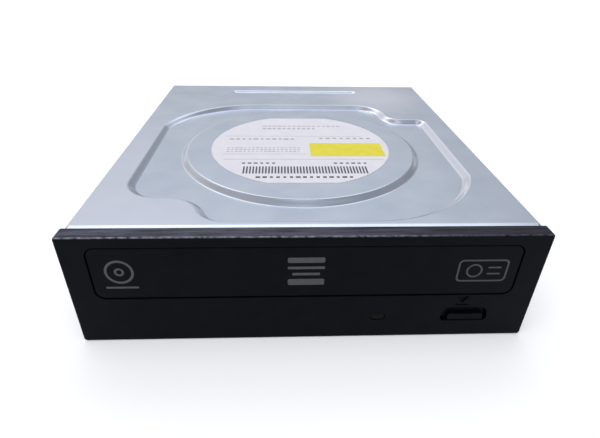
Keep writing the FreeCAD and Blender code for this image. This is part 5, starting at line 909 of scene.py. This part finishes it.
# %% [markdown]
# ## Contacts in the rear sockets
# At the rear, two plastic tongues carry flat gold-plated contacts at one even pitch, seven for the data
# plug and fifteen for the power plug. They repeat, so the recipe of the printed row makes them too, with
# every dash of full length: only its sizes, its place and its finish are new.

# %% Two rows of contacts
gold = finish("gold_plated_contact", tone(196, 160, 86), tone(214, 180, 104),
              rough=(0.2, 0.32), grain=0.2, bump=0.001, metal=1.0, patch=1.5)
CONTACT_PITCH, CONTACT_WIDE, CONTACT_LONG, CONTACT_THICK = 1.27 * MM, 0.8 * MM, 5.0 * MM, 0.06 * MM
CONTACT_INSET = 4.0 * MM
TONGUE_HALF = 0.65 * MM
socket_low, socket_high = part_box("rear_socket")
tongue_top = (socket_low[2] + socket_high[2]) / 2 + TONGUE_HALF
contact_middle = socket_high[1] - CONTACT_INSET
contacts = []
# Name, left end and width of the tongue in mm, and the count of its contacts.
for name, left, wide, count in (("data_contacts", 1.2, 10.6, 7), ("power_contacts", 13.0, 23.8, 15)):
    first = socket_low[0] + (left + wide / 2) * MM - (count - 1) / 2 * CONTACT_PITCH
    piece = new_piece(name, bpy.data.meshes.new(name))
    given_tree(row, piece, Count=count, Pitch=CONTACT_PITCH, Width=CONTACT_WIDE, Height=CONTACT_LONG,
               Thick=CONTACT_THICK, Shortest=1.0, Seed=1, Finish=gold,
               Start=(first, contact_middle, tongue_top + CONTACT_THICK / 2))
    piece = settled(piece)
    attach(piece, "case")
    contacts.append(piece)
print("contacts", [len(c.data.polygons) // DASH_FACES for c in contacts])

# %% [markdown]
# ## Thread of the feed screw
# The pickup is driven along its rods by a turning screw with a coarse rounded thread, which is rolled on
# a real one. The CAD solid is a plain rod, so the thread is made here: a thin core, a ridge that winds
# round it, and a smooth journal at each end. The thread is left-handed and rises 3 mm in a turn, because
# the joints say that the pickup goes forward as the screw turns forward, 3 mm for each turn.

# %% Round bars for the thread
thread_sizes = {"Long": "Float", "Outer_radius": "Float", "Ridge": "Float", "Pitch": "Float",
                "Journal": "Float", "Finish": "Material"}
thread, thread_of, thread_end = new_tree("threaded_rod", **thread_sizes)
ROD_SIDES, RIDGE_SIDES, TURN_STEPS = 24, 8, 24


def swept(path, radius, sides):
    """A closed round bar along a path."""
    ring = add(thread, "GeometryNodeCurvePrimitiveCircle", Resolution=sides, Radius=radius).outputs["Curve"]
    bar_shape = add(thread, "GeometryNodeCurveToMesh", Curve=path, Profile_Curve=ring, Fill_Caps=True)
    return bar_shape.outputs["Mesh"]


def rod(radius, start, long):
    """A closed round rod along Z."""
    end = sums(thread, "ADD", start, long)
    line = add(thread, "GeometryNodeCurvePrimitiveLine", Start=spot(thread, z=start), End=spot(thread, z=end))
    return swept(line.outputs["Curve"], radius, ROD_SIDES)


# %% The recipe of a threaded rod
outer, journal, whole_length = thread_of["Outer_radius"], thread_of["Journal"], thread_of["Long"]
core = sums(thread, "SUBTRACT", outer, thread_of["Ridge"])
far_journal = sums(thread, "SUBTRACT", whole_length, journal)
threaded = sums(thread, "SUBTRACT", whole_length, sums(thread, "MULTIPLY", journal, 2.0))
turns = sums(thread, "DIVIDE", threaded, thread_of["Pitch"])
winding = add(thread, "GeometryNodeCurveSpiral", Resolution=TURN_STEPS, Rotations=turns,
              Start_Radius=core, End_Radius=core, Height=threaded).outputs["Curve"]
ridge = swept(winding, thread_of["Ridge"], RIDGE_SIDES)
ridge = moved(thread, ridge, Translation=spot(thread, z=journal))
rods = joined(thread, rod(core, 0.0, whole_length), ridge, rod(outer, 0.0, journal),
              rod(outer, far_journal, journal))
ended(thread, rods, thread_of["Finish"], thread_end)
print("nodes in the rod's recipe", len(thread.nodes))

# %% The feed screw
turning = next(j for j in frame["record"]["behaviour"]["joints"] if j["name"] == "feed_screw_turn")
axle, axle_point = Vector(turning["axis"]), Vector(turning["pos_m"])
reaches = [(v.co - axle_point).dot(axle) for v in nodes["lead_screw"].data.vertices]
screw_start, screw_long = min(reaches), max(reaches) - min(reaches)
screw = new_piece("threaded_screw", bpy.data.meshes.new("threaded_screw"))
given_tree(thread, screw, Long=screw_long, Outer_radius=1.25 * MM, Ridge=0.28 * MM, Pitch=3.0 * MM,
           Journal=3.0 * MM, Finish=finishes[slots["lead_screw"]])
screw = settled(screw)
along_axle = axle.to_track_quat("Z", "Y").to_matrix().to_4x4()
screw.data.transform(Matrix.Translation(axle_point + axle * screw_start) @ along_axle)
smoothing = bmesh.new()
smoothing.from_mesh(screw.data)
bmesh.ops.recalc_face_normals(smoothing, faces=smoothing.faces)
crisp(smoothing, degrees=50)
smoothing.to_mesh(screw.data)
smoothing.free()
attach(screw, "feed_screw")
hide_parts("lead_screw")
print("feed screw", round(screw_long / MM, 2), "mm long,", len(screw.data.polygons), "faces")
